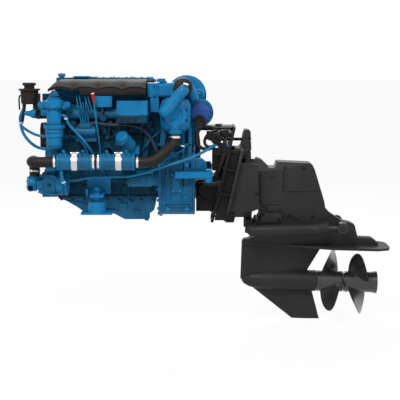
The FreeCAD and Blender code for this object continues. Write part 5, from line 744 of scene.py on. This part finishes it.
wear(hose_blue, "engine_pipes")
return_route = [(-1.075, -0.12, 0.4017), (-1.075, -0.12, 0.376), (-1.096, -0.122, 0.34),
                (-1.094, -0.124, 0.306), (-1.083, -0.126, 0.252), (-1.043, -0.128, 0.2),
                (-0.996, -0.112, 0.17), (-0.9623, -0.112, 0.17)]
supply_route = [(-1.091, -0.124, 0.292), (-1.066, -0.122, 0.268), (-1.0, -0.112, 0.234),
                (-0.9623, -0.112, 0.234)]
fuel_route = [(-0.8687, -0.235, 0.352), (-0.848, -0.235, 0.352), (-0.838, -0.238, 0.312),
              (-0.808, -0.228, 0.276), (-0.762, -0.222, 0.226), (-0.728, -0.214, 0.176),
              (-0.714, -0.17, 0.146), (-0.714, -0.1303, 0.146)]
drain_route = [(-0.866, -0.3, 0.0807), (-0.866, -0.3, 0.046), (-0.852, -0.29, 0.008),
               (-0.852, -0.2603, 0.008)]
dress("small_blue_hoses", [tube(return_route, 0.0078, 18), tube(supply_route, 0.007, 18),
                           tube(fuel_route, 0.0075, 18), tube(drain_route, 0.009, 18)], hose_blue,
      replaces=("small_hoses",))
extra = [tube([(-0.845, -0.142, 0.246), (-0.80, -0.18, 0.236), (-0.76, -0.20, 0.200), (-0.742, -0.205, 0.160),
               (-0.735, -0.20, 0.06), (-0.72, -0.16, 0.05)], 0.0055, 14),
         tube([(-0.60, -0.145, 0.10), (-0.56, -0.20, 0.085), (-0.46, -0.225, 0.082), (-0.37, -0.225, 0.112),
               (-0.30, -0.215, 0.155), (-0.25, -0.2, 0.175)], 0.006, 14),
         tube([(-0.40, -0.15, 0.20), (-0.36, -0.19, 0.19), (-0.33, -0.205, 0.17), (-0.335, -0.2, 0.08),
               (-0.345, -0.185, 0.02)], 0.005, 14),
         tube([(-0.475, -0.15, 0.16), (-0.455, -0.188, 0.18), (-0.43, -0.195, 0.22), (-0.39, -0.175, 0.255),
               (-0.37, -0.14, 0.27)], 0.005, 14)]
dress("thin_water_pipes", extra, half_shaded_blue)
ends = [band((-0.8462, -0.2362, 0.330), upward, 0.011, 0.0135, 0.010, sides=24),
        band((-0.268, -0.212, 0.196), (1, 0, -0.2), 0.004, 0.005, 0.020, sides=12),
        turned((-1.075, -0.12, 0.383), upward, [(0, 0.0095), (0.001, 0.0105), (0.008, 0.0105),
                                                (0.009, 0.009)], 20),
        turned((-1.0905, -0.124, 0.300), (0.03, 0, 1), [(0, 0.0095), (0.001, 0.0115), (0.009, 0.0115),
                                                        (0.010, 0.009)], 20),
        band((-0.8575, -0.2945, 0.026), (0.35, 0.25, -1), 0.010, 0.0125, 0.010, sides=24)]
dress("small_hose_clamps", ends, bright_steel)

# Dipstick
# A steel blade in a thin painted tube, with a red moulded grip.

red_plastic = coated("red_plastic", (0.480, 0.012, 0.030), (0.330, 0.008, 0.016), 0.22, grain=900, patch=30.0,
                     bump=0.06)
wear(red_plastic, "dipstick")
stick = np.array((-0.034, -0.094, 0.359)) / 0.37266
grip = np.array((-0.670, -0.146, 0.056)) + stick * 0.3745
grip_rings = [collar(grip + stick * lift, stick, 0.0085, 0.0096, 0.004, 24) for lift in (0.022, 0.029, 0.036)]
dress("dipstick_grip_rings", grip_rings, red_plastic, body="dipstick")

# Sea water pump
# A bronze gear pump painted blue, with a screwed end cover and a side stub for the hose.

wear(bright_blue, "sea_water_pump", "oil_cooler")
pump_y = -0.19
cover_ring = [(-1.0512, pump_y + y, z) for y, z in round_spots(6, 0.029, 0.5)]
pump_parts = screw_heads(cover_ring, forward, 0.008, 0.005)
pump_parts += [band((x, pump_y, 0), aft, 0.0385, 0.0402, 0.006) for x in (-1.046, -1.018)]
pump_parts.append(turned((-1.016, pump_y, 0.026), upward, [(0, 0.030), (0.003, 0.031), (0.008, 0.031),
                                                           (0.010, 0.027)], 32))
pump_parts.append(collar((-1.030, -0.2475, -0.017), port, 0.0146, 0.0166, 0.004, 32))
# A thin black ring on the end of the stub round its bore: painted shade that widens the dark mouth of the
# bore.
dress("sea_pump_mouth_shade_ring", [collar((-1.030, -0.2515, -0.017), port, 0.0112, 0.0146, 0.0015, 32)],
      hose_black)
pump_parts += [block_of((-0.998, -0.206, -0.048), (-0.968, -0.176, -0.028)),
               block_of((-0.990, -0.214, 0.030), (-0.966, -0.168, 0.046))]
pump_parts += screw_heads([(-0.983, pump_y, -0.048)], downward, 0.012, 0.006)
dress("sea_pump_trim", pump_parts, bright_blue)
ribs = [band((-0.902 + 0.0105 * k, -0.202, 0), aft, 0.0575, 0.0592, 0.0048, 0.0008, sides=44)
        for k in range(6)]
dress("oil_cooler_ribs", ribs, half_shaded_blue)
bulk = [turned((-0.955, -0.215, z), port, [(0, r), (0.03, r), (0.034, r - 0.003)], 24)
        for z, r in ((0.045, 0.014), (-0.045, 0.016))]
bulk += [tube([(-0.94, -0.245, 0.045), (-0.92, -0.262, 0.050), (-0.895, -0.262, 0.035),
               (-0.885, -0.255, 0.0)], 0.008),
         tube([(-0.945, -0.247, -0.045), (-0.925, -0.26, -0.052), (-0.90, -0.25, -0.050),
               (-0.885, -0.235, -0.045)], 0.0075)]
dress("case_side_pipes", bulk, half_shaded_blue)

# Filters
# The fuel filter is a painted canister with a bowl below, screwed to its head; the oil
# filter is a spin-on can with rolled rims.

wear(bright_blue, "fuel_filter", "oil_filter")
filter_axis = (-0.906, -0.235)
canister = [band((*filter_axis, z), upward, r - 0.001, r + 0.0016, 0.005, 0.0008, sides=44)
            for z, r in ((0.196, 0.040), (0.262, 0.0465), (0.300, 0.0495), (0.376, 0.036))]
top = land_on(["fuel_filter"], [(*filter_axis, 0.5)], downward)[0][2]
canister += [turned((*filter_axis, top - 0.004), upward, [(0, 0.026), (0.006, 0.026), (0.009, 0.021),
                                                               (0.016, 0.021), (0.018, 0.016)], 24)]
canister += screw_heads([(*filter_axis, top + 0.014)], upward, 0.02, 0.010)
canister += [turned((x, -0.262, 0.391), port, [(0, 0.012), (0.008, 0.012), (0.011, 0.008)], 24)
             for x in (-0.963, -0.849)]
canister += [block_of((-0.942, -0.270, 0.404), (-0.872, -0.205, 0.426)),
             block_of((-0.930, -0.262, 0.426), (-0.884, -0.212, 0.440))]
canister += screw_heads([(x, -0.272, 0.391) for x in (-0.963, -0.849)], port, 0.012, 0.006)
canister += screw_heads([(-0.93, -0.279, 0.391), (-0.885, -0.279, 0.391)], port, 0.010, 0.006)
dress("fuel_filter_trim", canister, half_shaded_blue)
out = np.array((-0.063, -0.093, 0.066))
out /= np.linalg.norm(out)
low_middle = np.array((-0.525, -0.185, 0.190))
flutes = [band(low_middle + out * reach, out, 0.0345, 0.0362, 0.0036, 0.0006) for reach in (0.012, 0.082)]
dress("oil_filter_rolls", flutes, half_shaded_blue)

# Starter
# A painted starter with its solenoid beside it, flanged to the bell housing.

wear(half_shaded_blue, "starter_motor")
starter = [band((x, -0.184, 0.022), aft, 0.039, 0.0415, 0.005) for x in (-0.530, -0.445, -0.398)]
starter += screw_heads([(-0.5435, -0.184 + 0.026 * math.cos(a), 0.022 + 0.026 * math.sin(a))
                        for a in (0.6, 3.7)], forward, 0.009, 0.006)
starter += screw_heads([(-0.542, -0.16, 0.066)], forward, 0.012, 0.010)
dress("starter_trim", starter, half_shaded_blue)

# Bell housing
# The cast housing round the flywheel: a flange with a ring of screws, cast ribs along its
# sides and a flat port face with a cover plate.

wear(half_shaded_blue, "flywheel_housing")
ring = [(0, y, z) for y, z in round_spots(18, 0.183, 0.17)]
heads = screws_on(["flywheel_housing"], ring, aft, 0.014)
side_ribs = []
for hand, inward in sides:
    outward = (0, hand, 0)
    off = hand * land_on(["flywheel_housing"], [(-0.30, 0, 0.03)], inward)[0][1]
    rib_off = (off - 0.002, off + 0.006)
    side_ribs += [side_block(hand, (x - 0.003, x + 0.003), rib_off, (-0.150, 0.145), 0.0015)
                  for x in (-0.352, -0.322, -0.262, -0.214)]
    side_ribs += [side_block(hand, (-0.352, -0.214), rib_off, (z - 0.003, z + 0.003), 0.0015)
                  for z in (-0.118, -0.055, 0.060, 0.118)]
    side_ribs.append(side_block(hand, (-0.316, -0.268), (off, off + 0.004), (-0.048, 0.052), 0.0015))
    cover_screws = [(x, hand * (off + 0.003), z) for x in (-0.31, -0.274) for z in (-0.042, 0.046)]
    corner_screws = [(x, hand * off, z) for x in (-0.337, -0.238) for z in (-0.135, 0.09)]
    heads += screw_heads(cover_screws, outward, 0.011)
    heads += screw_heads(corner_screws, outward, 0.015)
dress("bell_housing_ribs", side_ribs, half_shaded_blue)
dress("bell_housing_screws", heads, bright_blue)
cast_iron = coated("cast_iron", (0.070, 0.072, 0.075), (0.040, 0.038, 0.036), 0.48, grain=360, patch=14.0,
                   bump=0.5, metal=0.6)
wear(cast_iron, "flywheel")
wear(pulley_steel, "output_shaft", "input_shaft", "vertical_shaft")

# Engine mounts
# Rubber mounts with threaded studs and flanged feet carry the painted arms from the block;
# bushes carry the arms from the bell housing.

wear(bright_blue, "engine_mounts", "mount_brackets")
nuts = []
for hand in (-1, 1):
    stud = land_on(["engine_mounts"], [(-0.691, hand * 0.28, 0.3)], downward)
    nuts += screw_heads([(at[0], at[1], at[2] - 0.016) for at in stud], upward, 0.026, 0.012)
    nuts += [turned((at[0], at[1], at[2] - 0.020), upward, [(0, 0.018), (0.003, 0.018)], 28) for at in stud]
    nuts += screw_heads([(-0.691 + shift, hand * 0.28, -0.132) for shift in (-0.059, 0.059)], upward, 0.016,
                        0.008)
dress("mount_nuts", nuts, half_shaded_blue)

# Aftercooler, charge pipe and header tank
# Cast aluminium boxes painted with the engine, bolted together above the bell housing. The
# charge pipe climbs over them to the compressor.

wear(bright_blue, "aftercooler", "charge_pipe", "header_tank")
vessel = [turned((-0.296, -0.2535, 0.352), port, [(0, 0.056), (0.004, 0.056), (0.008, 0.050), (0.009, 0.040),
                                                       (0.004, 0.036)], 48)]
rim = [(-0.296 + 0.062 * math.cos(a), -0.248, 0.352 + 0.066 * math.sin(a))
       for a in np.arange(8) * math.pi / 4 + 0.4]
vessel_screws = screws_on(["aftercooler"], rim, starboard, 0.010)
tank_front = land_on(["header_tank"], [(-0.35, 0, 0.47), (-0.42, 0, 0.40)], starboard)
if tank_front:
    y = tank_front[0][1]
    vessel_screws += screw_heads([(x, y, z) for x in (-0.405, -0.325) for z in (0.448, 0.496)], port, 0.010)
    vessel.append(block_of((-0.372, y - 0.005, 0.458), (-0.330, y + 0.004, 0.488)))
lid = land_on(["header_tank"], [(-0.37, -0.12, 1)], downward)[0][2]
vessel.append(turned((-0.37, -0.12, lid - 0.003), upward, [(0, 0.026), (0.006, 0.026), (0.007, 0.022),
                                                           (0.015, 0.022), (0.018, 0.018)], 28))
vessel += [band((-0.296, -0.235, z), upward, 0.0305, 0.034, 0.007, sides=36) for z in (0.262, 0.282)]
vessel.append(block_of((-0.386, -0.184, 0.440), (-0.298, -0.150, 0.506), 0.009))
vessel.append(turned((-0.264, -0.292, 0.467), (0.65, 0, 0.76), [(0, 0.0275), (0.020, 0.0272), (0.032, 0.023),
                                                                (0.038, 0.015), (0.041, 0.006)], 36))
dress("tank_back_strut", [block_of((-0.392, -0.100, 0.185), (-0.325, -0.045, 0.452))], painted_shade_blue)
dress("vessel_covers", vessel, bright_blue)
dress("vessel_screws", vessel_screws, half_shaded_blue)
strips = [block_of((x, -0.172, -0.02), (x + w, -0.160, 0.30)) for x, w in ((-0.232, 0.018), (-0.265, 0.014))]
strips.append(block_of((-0.385, -0.172, 0.188), (-0.215, -0.158, 0.204)))
strips.append(slab([(-0.212, 0.039), (-0.130, 0.039), (-0.139, 0.104), (-0.163, 0.124), (-0.212, 0.120)],
                   "side", -0.160, 0.055, 0.006))
strips.append(slab([(-0.378, 0.20), (-0.352, 0.20), (-0.335, 0.29), (-0.366, 0.30)], "side", -0.170, 0.010))
dress("vessel_struts", strips, half_shaded_blue)

# Air filter and turbocharger
# A large painted drum over the turbocharger, whose scroll shows below it. The compressor's
# outlet elbow is cast, and the turbine end wears a violet-blue heat guard.

wear(bright_blue, "air_filter")
wear(bright_blue, "turbocharger")
violet = coated("heat_guard_paint", (0.022, 0.080, 0.30), (0.010, 0.050, 0.20), 0.36, grain=600, patch=14.0,
                specular=0.25)
drum_x = -0.242
drum_z = 0.440
drum = [turned((drum_x, -0.0065, drum_z), port, [(0, r), (0.003, r), (0.005, r - 0.005),
                                                 (0.0045, r - 0.012)], 72) for r in (0.098, 0.072)]
drum += [band((drum_x, y, drum_z), starboard, 0.1035, 0.1043, 0.005, sides=72)
         for y in (0.010, 0.050, 0.090)]
drum.append(turned((-0.174, -0.004, 0.450), port, [(0, 0.028), (0.020, 0.028), (0.024, 0.025), (0.026, 0.016),
                                                        (0.020, 0.013)], 36))
drum += screw_heads([(-0.174, -0.024, 0.450)], port, 0.016, 0.008)
outlet = [tube([(-0.256, -0.205, 0.490), (-0.252, -0.160, 0.488), (-0.225, -0.112, 0.478),
                (-0.206, -0.106, 0.440), (-0.206, -0.106, 0.424)], 0.029, 28)]
dress("air_filter_trim", drum, bright_blue, crease=50)
dress("compressor_outlet", outlet, bright_blue, crease=55)
turbo_x = -0.172
turbo_z = 0.357
guard = [turned((turbo_x, -0.1435, turbo_z), port, [(0, 0.052), (0.002, 0.053), (0.006, 0.050),
                                                    (0.008, 0.040), (0.008, 0.028)], 48)]
dress("turbine_guard", guard, violet, crease=60)
stub_profile = [(0, 0.028), (0.012, 0.0295), (0.016, 0.0285), (0.018, 0.025), (0.014, 0.021)]
dress("turbine_hose_stub", [turned((-0.171, -0.142, z), (0, -1, -0.12), stub_profile, 40)
                            for z in (0.308, 0.320)], hose_black, crease=60)
scroll = [band((turbo_x, y, turbo_z), port, 0.066, 0.0695, 0.007, sides=64) for y in (-0.020, -0.128)]
scroll += screw_heads([(turbo_x + x, -0.146, turbo_z + z) for x, z in round_spots(8, 0.06, 0.2)], port,
                      0.008, 0.005)
dress("turbocharger_rings", scroll, half_shaded_blue)

# Exhaust side
# The exhaust manifold with its stud nuts, and the alternator with fins round its body, on
# the starboard side.

# The manifold wears the darkest copy of the blue: painted shade for where it sits under the cover.
wear(painted_shade_blue, "exhaust_manifold")
cast_aluminium = coated("cast_aluminium", (0.42, 0.43, 0.45), (0.28, 0.29, 0.30), 0.32, grain=500, patch=16.0,
                        bump=0.35, metal=1.0)
wear(cast_aluminium, "alternator")
studs = [(x + shift, 0, 0.36) for x in np.linspace(-0.80, -0.44, 4) for shift in (-0.03, 0.03)]
heads = screws_on(["exhaust_manifold"], studs, port, 0.014)
dress("exhaust_nuts", heads, dark_steel)
fan = []
for y, z in round_spots(12, 0.0425):
    fan.append(band((-0.936, 0.2 + y, 0.225 + z), aft, 0.0045, 0.006, 0.100, sides=10))
dress("alternator_fins", fan, cast_aluminium)

# Steering oil reservoir
# A black moulded tub with a ribbed screw cap, strapped to a bracket on the case.

wear(moulded_black, "steering_reservoir", "reservoir_cap")
tub_x = -1.045
tub_y = -0.12
tub = [band((tub_x, tub_y, z), upward, r - 0.001, r + 0.0012, 0.0036, 0.0006, sides=44)
       for z, r in ((0.412, 0.0436), (0.462, 0.0458))]
tub += [block_of((-1.026, -0.142, 0.330), (-1.012, -0.100, 0.404)),
        block_of((-1.012, -0.136, 0.330), (-0.990, -0.104, 0.346))]
tub += screw_heads([(-1.0, -0.137, 0.372)], port, 0.012, 0.006)
dress("reservoir_trim", tub, moulded_black)
knurl = [band((tub_x + x, tub_y + y, 0.4975), upward, 0.0012, 0.002, 0.012, 0.0005, sides=8)
         for x, y in round_spots(24, 0.0325)]
dress("reservoir_cap_ribs", knurl, moulded_black, body="reservoir_cap")
overflow = [tube([(-1.086, -0.120, 0.446), (-1.092, -0.120, 0.446), (-1.0985, -0.120, 0.438),
                  (-1.0985, -0.121, 0.405), (-1.097, -0.122, 0.372)], 0.0042, 12)]
overflow.append(tube([(-1.070, -0.128, 0.404), (-1.071, -0.130, 0.380), (-1.078, -0.130, 0.345),
                      (-1.084, -0.127, 0.312)], 0.0085, 16))
dress("reservoir_hoses", overflow, hose_black)
sender = [turned((-1.008, -0.142, 0.352), (-1, 0, 0.08), [(0, 0.015), (0.004, 0.022), (0.016, 0.024),
                                                          (0.024, 0.020), (0.038, 0.013), (0.058, 0.011),
                                                          (0.062, 0.007)], 28),
          turned((-1.050, -0.142, 0.358), downward, [(0, 0.008), (0.014, 0.008), (0.016, 0.005)], 16),
          block_of((-0.990, -0.128, 0.340), (-0.955, -0.106, 0.372))]
dress("level_sender", sender, bright_blue)

# Transom shield
# Two cast aluminium shields clamp the boat's transom between them. The inner one carries the
# steering cylinder, the exhaust box and loops of hydraulic hose.

shield_black = coated("shield_black", (0.009, 0.008, 0.008), (0.005, 0.005, 0.005), 0.46, grain=520,
                      patch=6.0, bump=0.3, specular=0.18)
drive_paint = coated("drive_paint", (0.0215, 0.0215, 0.022), (0.0145, 0.0145, 0.015), 0.4, grain=620,
                     patch=5.0, bump=0.14, specular=0.22)
wear(shield_black, "inner_transom_plate", "transom_bolts", "gimbal_ring", "steering_cylinder",
     "steering_lever", "steering_rod")
wear(drive_paint, "gimbal_housing")

loops = [tube([(-0.10, -0.08, 0.274), (-0.135, -0.11, 0.286), (-0.176, -0.145, 0.280),
               (-0.190, -0.157, 0.235), (-0.182, -0.157, 0.190), (-0.150, -0.154, 0.172),
               (-0.115, -0.154, 0.174), (-0.095, -0.152, 0.195)], 0.0095),
         tube([(-0.085, -0.105, 0.264), (-0.120, -0.150, 0.260), (-0.150, -0.154, 0.225),
               (-0.145, -0.154, 0.190), (-0.110, -0.154, 0.180), (-0.080, -0.152, 0.205)], 0.008),
         tube([(-0.06, -0.11, 0.264), (-0.080, -0.154, 0.235), (-0.070, -0.158, 0.180),
               (-0.050, -0.145, 0.130), (-0.062, -0.13, 0.085)], 0.0095),
         tube([(-0.03, -0.12, 0.264), (-0.045, -0.158, 0.22), (-0.048, -0.160, 0.14),
               (-0.075, -0.150, 0.07), (-0.082, -0.13, 0.03)], 0.011)]
dress("hydraulic_hoses", loops, hose_black, crease=60)
fittings = [turned((-0.088, -0.143, 0.228), port, [(0, 0.030), (0.022, 0.030), (0.026, 0.026), (0.030, 0.026),
                                                        (0.032, 0.014), (0.024, 0.013)], 32),
            turned((-0.040, -0.143, 0.255), port, [(0, 0.020), (0.018, 0.020), (0.022, 0.014)], 24),
            block_of((-0.138, -0.166, 0.222), (-0.100, -0.142, 0.266)),
            block_of((-0.065, -0.168, 0.150), (-0.036, -0.142, 0.205)),
            block_of((-0.064, -0.160, 0.250), (-0.020, -0.100, 0.270), 0.002),
            block_of((-0.118, -0.10, 0.268), (-0.005, -0.058, 0.281), 0.002)]
fittings += screw_heads([(x, -0.1, 0.272) for x in (-0.105, -0.06, -0.02)], port, 0.012)
fittings += screw_heads([(-0.0505, -0.168, z) for z in (0.164, 0.190)], port, 0.010)
dress("steering_fittings", fittings, shield_black)
cap = [turned((-0.074, -0.035, 0.281), upward, [(0, 0.016), (0.004, 0.016), (0.006, 0.018), (0.012, 0.018),
                                                  (0.015, 0.013)], 24)]
cap_paint = coated("cap_green_blue", (0.02, 0.09, 0.10), (0.012, 0.06, 0.07), 0.4)
dress("oil_port_cap", cap, cap_paint)
exhaust_trim = [block_of((-0.193, -0.0775, -0.158), (-0.097, -0.0745, -0.154), 0.001),
                slab([(-0.19, -0.10), (-0.10, -0.10), (-0.10, -0.104), (-0.19, -0.104)], "side", -0.078,
                     0.156, 0.001)]
exhaust_trim += screw_heads([(x, -0.075, z) for x in (-0.18, -0.11) for z in (-0.148, -0.078)], port, 0.011,
                            0.006)
exhaust_trim.append(slab([(-0.102, -0.048), (-0.062, -0.048), (-0.086, -0.150), (-0.102, -0.150)], "side",
                         -0.074, 0.148))
dress("exhaust_box_trim", exhaust_trim, shield_black)
castings = [slab([(-0.096, -0.200), (-0.046, -0.200), (0.038, 0.165), (-0.016, 0.165)], "side", y, 0.014)
            for y in (-0.135, 0.121)]
castings.append(slab([(-0.186, -0.072), (-0.184, -0.013), (-0.130, -0.008), (-0.097, 0.025), (-0.045, 0.078),
                      (-0.034, 0.070), (-0.060, -0.040), (-0.082, -0.140)], "side", -0.085, 0.170, 0.010))
castings.append(slab([(-0.109, 0.060), (-0.062, 0.056), (-0.038, 0.078), (-0.022, 0.146), (-0.109, 0.146)],
                     "side", -0.132, 0.045, 0.006))
castings.append(slab([(-0.109, 0.140), (-0.024, 0.140), (-0.016, 0.180), (-0.109, 0.180)], "side", -0.164,
                     0.020, 0.004))
castings += [slab([(-0.040, -0.211), (0.004, -0.211), (0.012, -0.180), (0.008, -0.166), (-0.028, -0.163)],
                  "side", y, 0.014, 0.003) for y in (-0.139, 0.125)]
castings += [turned((-0.014, hand * 0.138, -0.19), (0, hand, 0),
                    [(0, 0.013), (0.004, 0.013), (0.005, 0.010), (0.002, 0.008)], 20) for hand in (-1, 1)]
dress("transom_castings", castings, shield_black)
fin_cheeks = [slab([(0.0365, 0.156), (0.056, 0.250), (0.078, 0.250), (0.084, 0.156)], "side", y, 0.008, 0.002)
              for y in (-0.060, 0.052)]
dress("gimbal_fin_cheeks", fin_cheeks, drive_paint)

shell_screws = land_on(["gimbal_housing"], [(0.122, 0, -0.060), (0.066, 0, -0.165)], starboard)
heads = screw_heads(shell_screws, port, 0.011, 0.006)
heads += screw_heads([(at[0], -at[1], at[2]) for at in shell_screws], starboard, 0.011, 0.006)
dress("gimbal_housing_screws", heads, shield_black)

# Bellows
# A ribbed rubber sleeve keeps water out between the outer shield and the drive. It is made
# here in two halves that meet beside the joint's centre.


def pleated_sleeve(start, stop, radius, folds):
    """Round section whose radius rises and falls with a sine along the sleeve, once a fold,
    closed back through its inside 3 mm nearer the axis."""
    out = np.linspace(start, stop, folds * 8 + 1)
    wave = radius + 0.004 * np.sin(2 * math.pi * folds * (out - start) / (stop - start))
    along = np.concatenate([out, out[::-1]])
    rims = np.concatenate([wave, wave[::-1] - 0.003])
    angle = np.linspace(0, 2 * math.pi, 48, endpoint=False)
    points = np.stack([np.broadcast_to(along[:, None], (len(along), 48)), rims[:, None] * np.cos(angle),
                       rims[:, None] * np.sin(angle)], -1)
    return skin(np.concatenate([points, points[:1]]), ends=None)


def half_bellows(name, start, stop, replaces=()):
    """One half of the bellows, with no body of its own, lying between the two bodies that one joint joins."""
    made = dress(name, [pleated_sleeve(start, stop, 0.046, 3)], hose_black, body=None,
                 replaces=replaces, crease=70)
    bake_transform(made)


half_bellows("bellows_front", -0.010, 0.071, ("drive_bellows",))
half_bellows("bellows_aft", 0.071, 0.098)

# Trim cylinders
# Two hydraulic cylinders from the gimbal ring's yoke to the leg, painted barrels with a
# screwed gland and dark hard-chromed rods.

rod_dark = coated("rod_dark_chrome", (0.055, 0.055, 0.058), (0.035, 0.035, 0.036), 0.16, grain=900,
                  patch=20.0, bump=0.05, metal=0.7)
wear(drive_paint, "trim_barrels")
wear(rod_dark, "trim_rods", "trim_pins")
lean = np.array((0.999905, 0, 0.013775))
bands = []
for hand in (-1, 1):
    pivot = np.array((0.089, hand * 0.132, -0.247))
    bands += [band(pivot + lean * reach, lean, 0.0205, 0.0235, 0.008, sides=36)
              for reach in (0.045, 0.110, 0.360, 0.392)]
    bands.append(turned(pivot + np.array((0, hand * 0.012, 0)), (0, hand, 0),
                        [(0, 0.02), (0.008, 0.02), (0.010, 0.016)], 28))
    sleeve = [(0, 0.014), (0.004, 0.023), (0.012, 0.028), (0.366, 0.028), (0.372, 0.024)]
    bands.append(turned(pivot + np.array((-0.012, 0, -0.007)), lean, sleeve, 40))
dress("trim_barrel_bands", bands, drive_paint, body="trim_barrels")
caps = []
for hand in (-1, 1):
    eye = np.array((0.571, hand * 0.146, -0.240))
    caps.append(turned(eye, (0, hand, 0), [(0, 0.020), (0.005, 0.020), (0.009, 0.014), (0.010, 0.005)], 28))
dress("trim_pin_caps", caps, drive_paint, body="drive")

# Upper drive housing
# Cast aluminium, dark painted, split from its rear cover by a fine seam. Screws sit along
# the cover's top and down its sides, and a low dome closes the top over the joint.

wear(drive_paint, "drive_shaft_housing", "rear_cover", "gear_housing")
drive_turn = math.radians(1.6)


def in_drive(points):
    """Places given about the joint with the drive upright, turned down aft by the trim."""
    x, y, z = np.array(points, float).T
    return np.stack([0.078 + x * math.cos(drive_turn) + z * math.sin(drive_turn), y,
                     z * math.cos(drive_turn) - x * math.sin(drive_turn)], -1)


def drive_slab(outline, start, depth, edge=0.002):
    """A side outline in the drive's own frame given its width, then turned with the drive."""
    corners, faces = slab(outline, "side", start, depth, edge)
    return in_drive(corners), faces


along_drive = in_drive([aft])[0] - in_drive([(0, 0, 0)])[0]
up_drive = in_drive([upward])[0] - in_drive([(0, 0, 0)])[0]
heads = []
for hand, inward in sides:
    spots = [(x, 0, z) for x, z in ((0.268, 0.067), (0.372, 0.064), (0.139, -0.062), (0.30, -0.185),
                                    (0.42, -0.19))]
    heads += screws_on(["drive_shaft_housing", "rear_cover"], spots, inward, 0.012, 0.005)
dress("drive_screws", heads, shield_black, body="drive")

trims = []
for hand in (-1, 1):
    panel = [(0.100, -0.128), (0.160, -0.128), (0.170, -0.142), (0.160, -0.158), (0.110, -0.158)]
    trims.append(drive_slab(panel, min(hand * 0.072, hand * 0.081), 0.009, 0.004))
dress("drive_side_panels", trims, drive_paint, body="drive")
dome = [turned((0.137, 0, 0.066), up_drive, [(0, 0.052), (0.007, 0.050), (0.016, 0.042), (0.026, 0.029),
                                             (0.032, 0.016), (0.034, 0.006)], 48)]
dress("drive_top_dome", dome, drive_paint, body="drive", crease=55)

seams, ledges = [], []
for hand, inward in sides:
    for line in (((0.264, 0.066), (0.265, 0.0), (0.265, -0.061)),
                 ((0.258, -0.058), (0.35, -0.059), (0.456, -0.061)),
                 ((0.142, 0.030), (0.143, -0.05), (0.145, -0.125)),
                 ((0.156, -0.126), (0.254, -0.126)),
                 ((0.176, -0.146), (0.254, -0.146)),
                 ((0.150, -0.128), (0.193, -0.154), (0.254, -0.166))):
        run = np.array(line)
        steps = np.linspace(0, len(run) - 1, 12)
        route = np.stack([np.interp(steps, np.arange(len(run)), run[:, k]) for k in (0, 1)], 1)
        spots = land_on(["drive_shaft_housing", "rear_cover"], [(x, 0, z) for x, z in route], inward)
        seams.append(tube(spots, 0.0019, 8))
    side = land_on(["drive_shaft_housing", "rear_cover"], [(0.200, 0, 0.031)], inward)[0][1]
    ledges.append(slab([(side - hand * 0.016, 0.040), (side + hand * 0.006, 0.026),
                        (side + hand * 0.006, 0.022), (side - hand * 0.016, 0.020)], "front", 0.186, 0.044,
                       0.001))
    ledges.append(slab([(0.132, -0.199), (0.148, -0.175), (0.188, -0.166), (0.231, -0.166), (0.259, -0.185),
                        (0.259, -0.214), (0.241, -0.226), (0.138, -0.226)], "side",
                       min(hand * 0.044, hand * 0.080), 0.036, 0.012))
    ledges += [turned((x, hand * 0.066, z), (0, hand, 0), [(0, 0.010), (0.012, 0.010), (0.014, 0.007)], 20)
               for x, z in ((0.125, -0.212), (0.245, -0.205))]
dress("drive_seams", seams, shield_black, body="drive")
dress("drive_ledges", ledges, drive_paint, body="drive")

# Lower unit
# The leg, anti-ventilation plate, bullet and skeg are one casting. Plug screws sit in its
# sides and a zinc anode under the plate.

plugs = []
for hand, inward in sides:
    spots = in_drive([(0.24, 0, -0.62), (0.16, 0, -0.255), (0.36, 0, -0.255)])
    plugs += screws_on(["gear_housing"], spots, inward, 0.010, 0.003)
dress("leg_plugs", plugs, drive_paint, body="drive")
shoulders = [slab([(0.053, -0.328), (0.062, -0.317), (0.140, -0.316), (0.254, -0.320), (0.255, -0.359),
                   (0.140, -0.354), (0.053, -0.348)], "side", -0.030, 0.060, 0.004),
             slab([(0.560, -0.359), (0.664, -0.307), (0.740, -0.311), (0.776, -0.340), (0.761, -0.366)],
                  "side", -0.032, 0.064, 0.005)]
dress("leg_shoulders", shoulders, drive_paint, body="drive")
anode = [drive_slab([(0.60, -0.3449), (0.70, -0.3449), (0.695, -0.356), (0.605, -0.356)], -0.022, 0.044,
                    0.003)]
dress("plate_anode", anode, cast_aluminium, body="drive")

# Propellers
# Contra-rotating three-bladed propellers in painted alloy, on shafts one inside the other.

propeller_paint = coated("propeller_paint", (0.026, 0.026, 0.027), (0.018, 0.018, 0.019), 0.16, grain=700,
                         patch=8.0, bump=0.06, specular=0.5, coat=0.3)
wear(propeller_paint, "front_propeller", "rear_propeller")
axis_at = in_drive([(0, 0, -0.537)])[0]
for name, spots in (("front_propeller", (0.398, 0.520)), ("rear_propeller", (0.545, 0.690))):
    rings = [band(axis_at + along_drive * spot, along_drive, 0.050, 0.0562, 0.005, sides=48)
             for spot in spots]
    dress(name + "_rings", rings, propeller_paint, body=name)
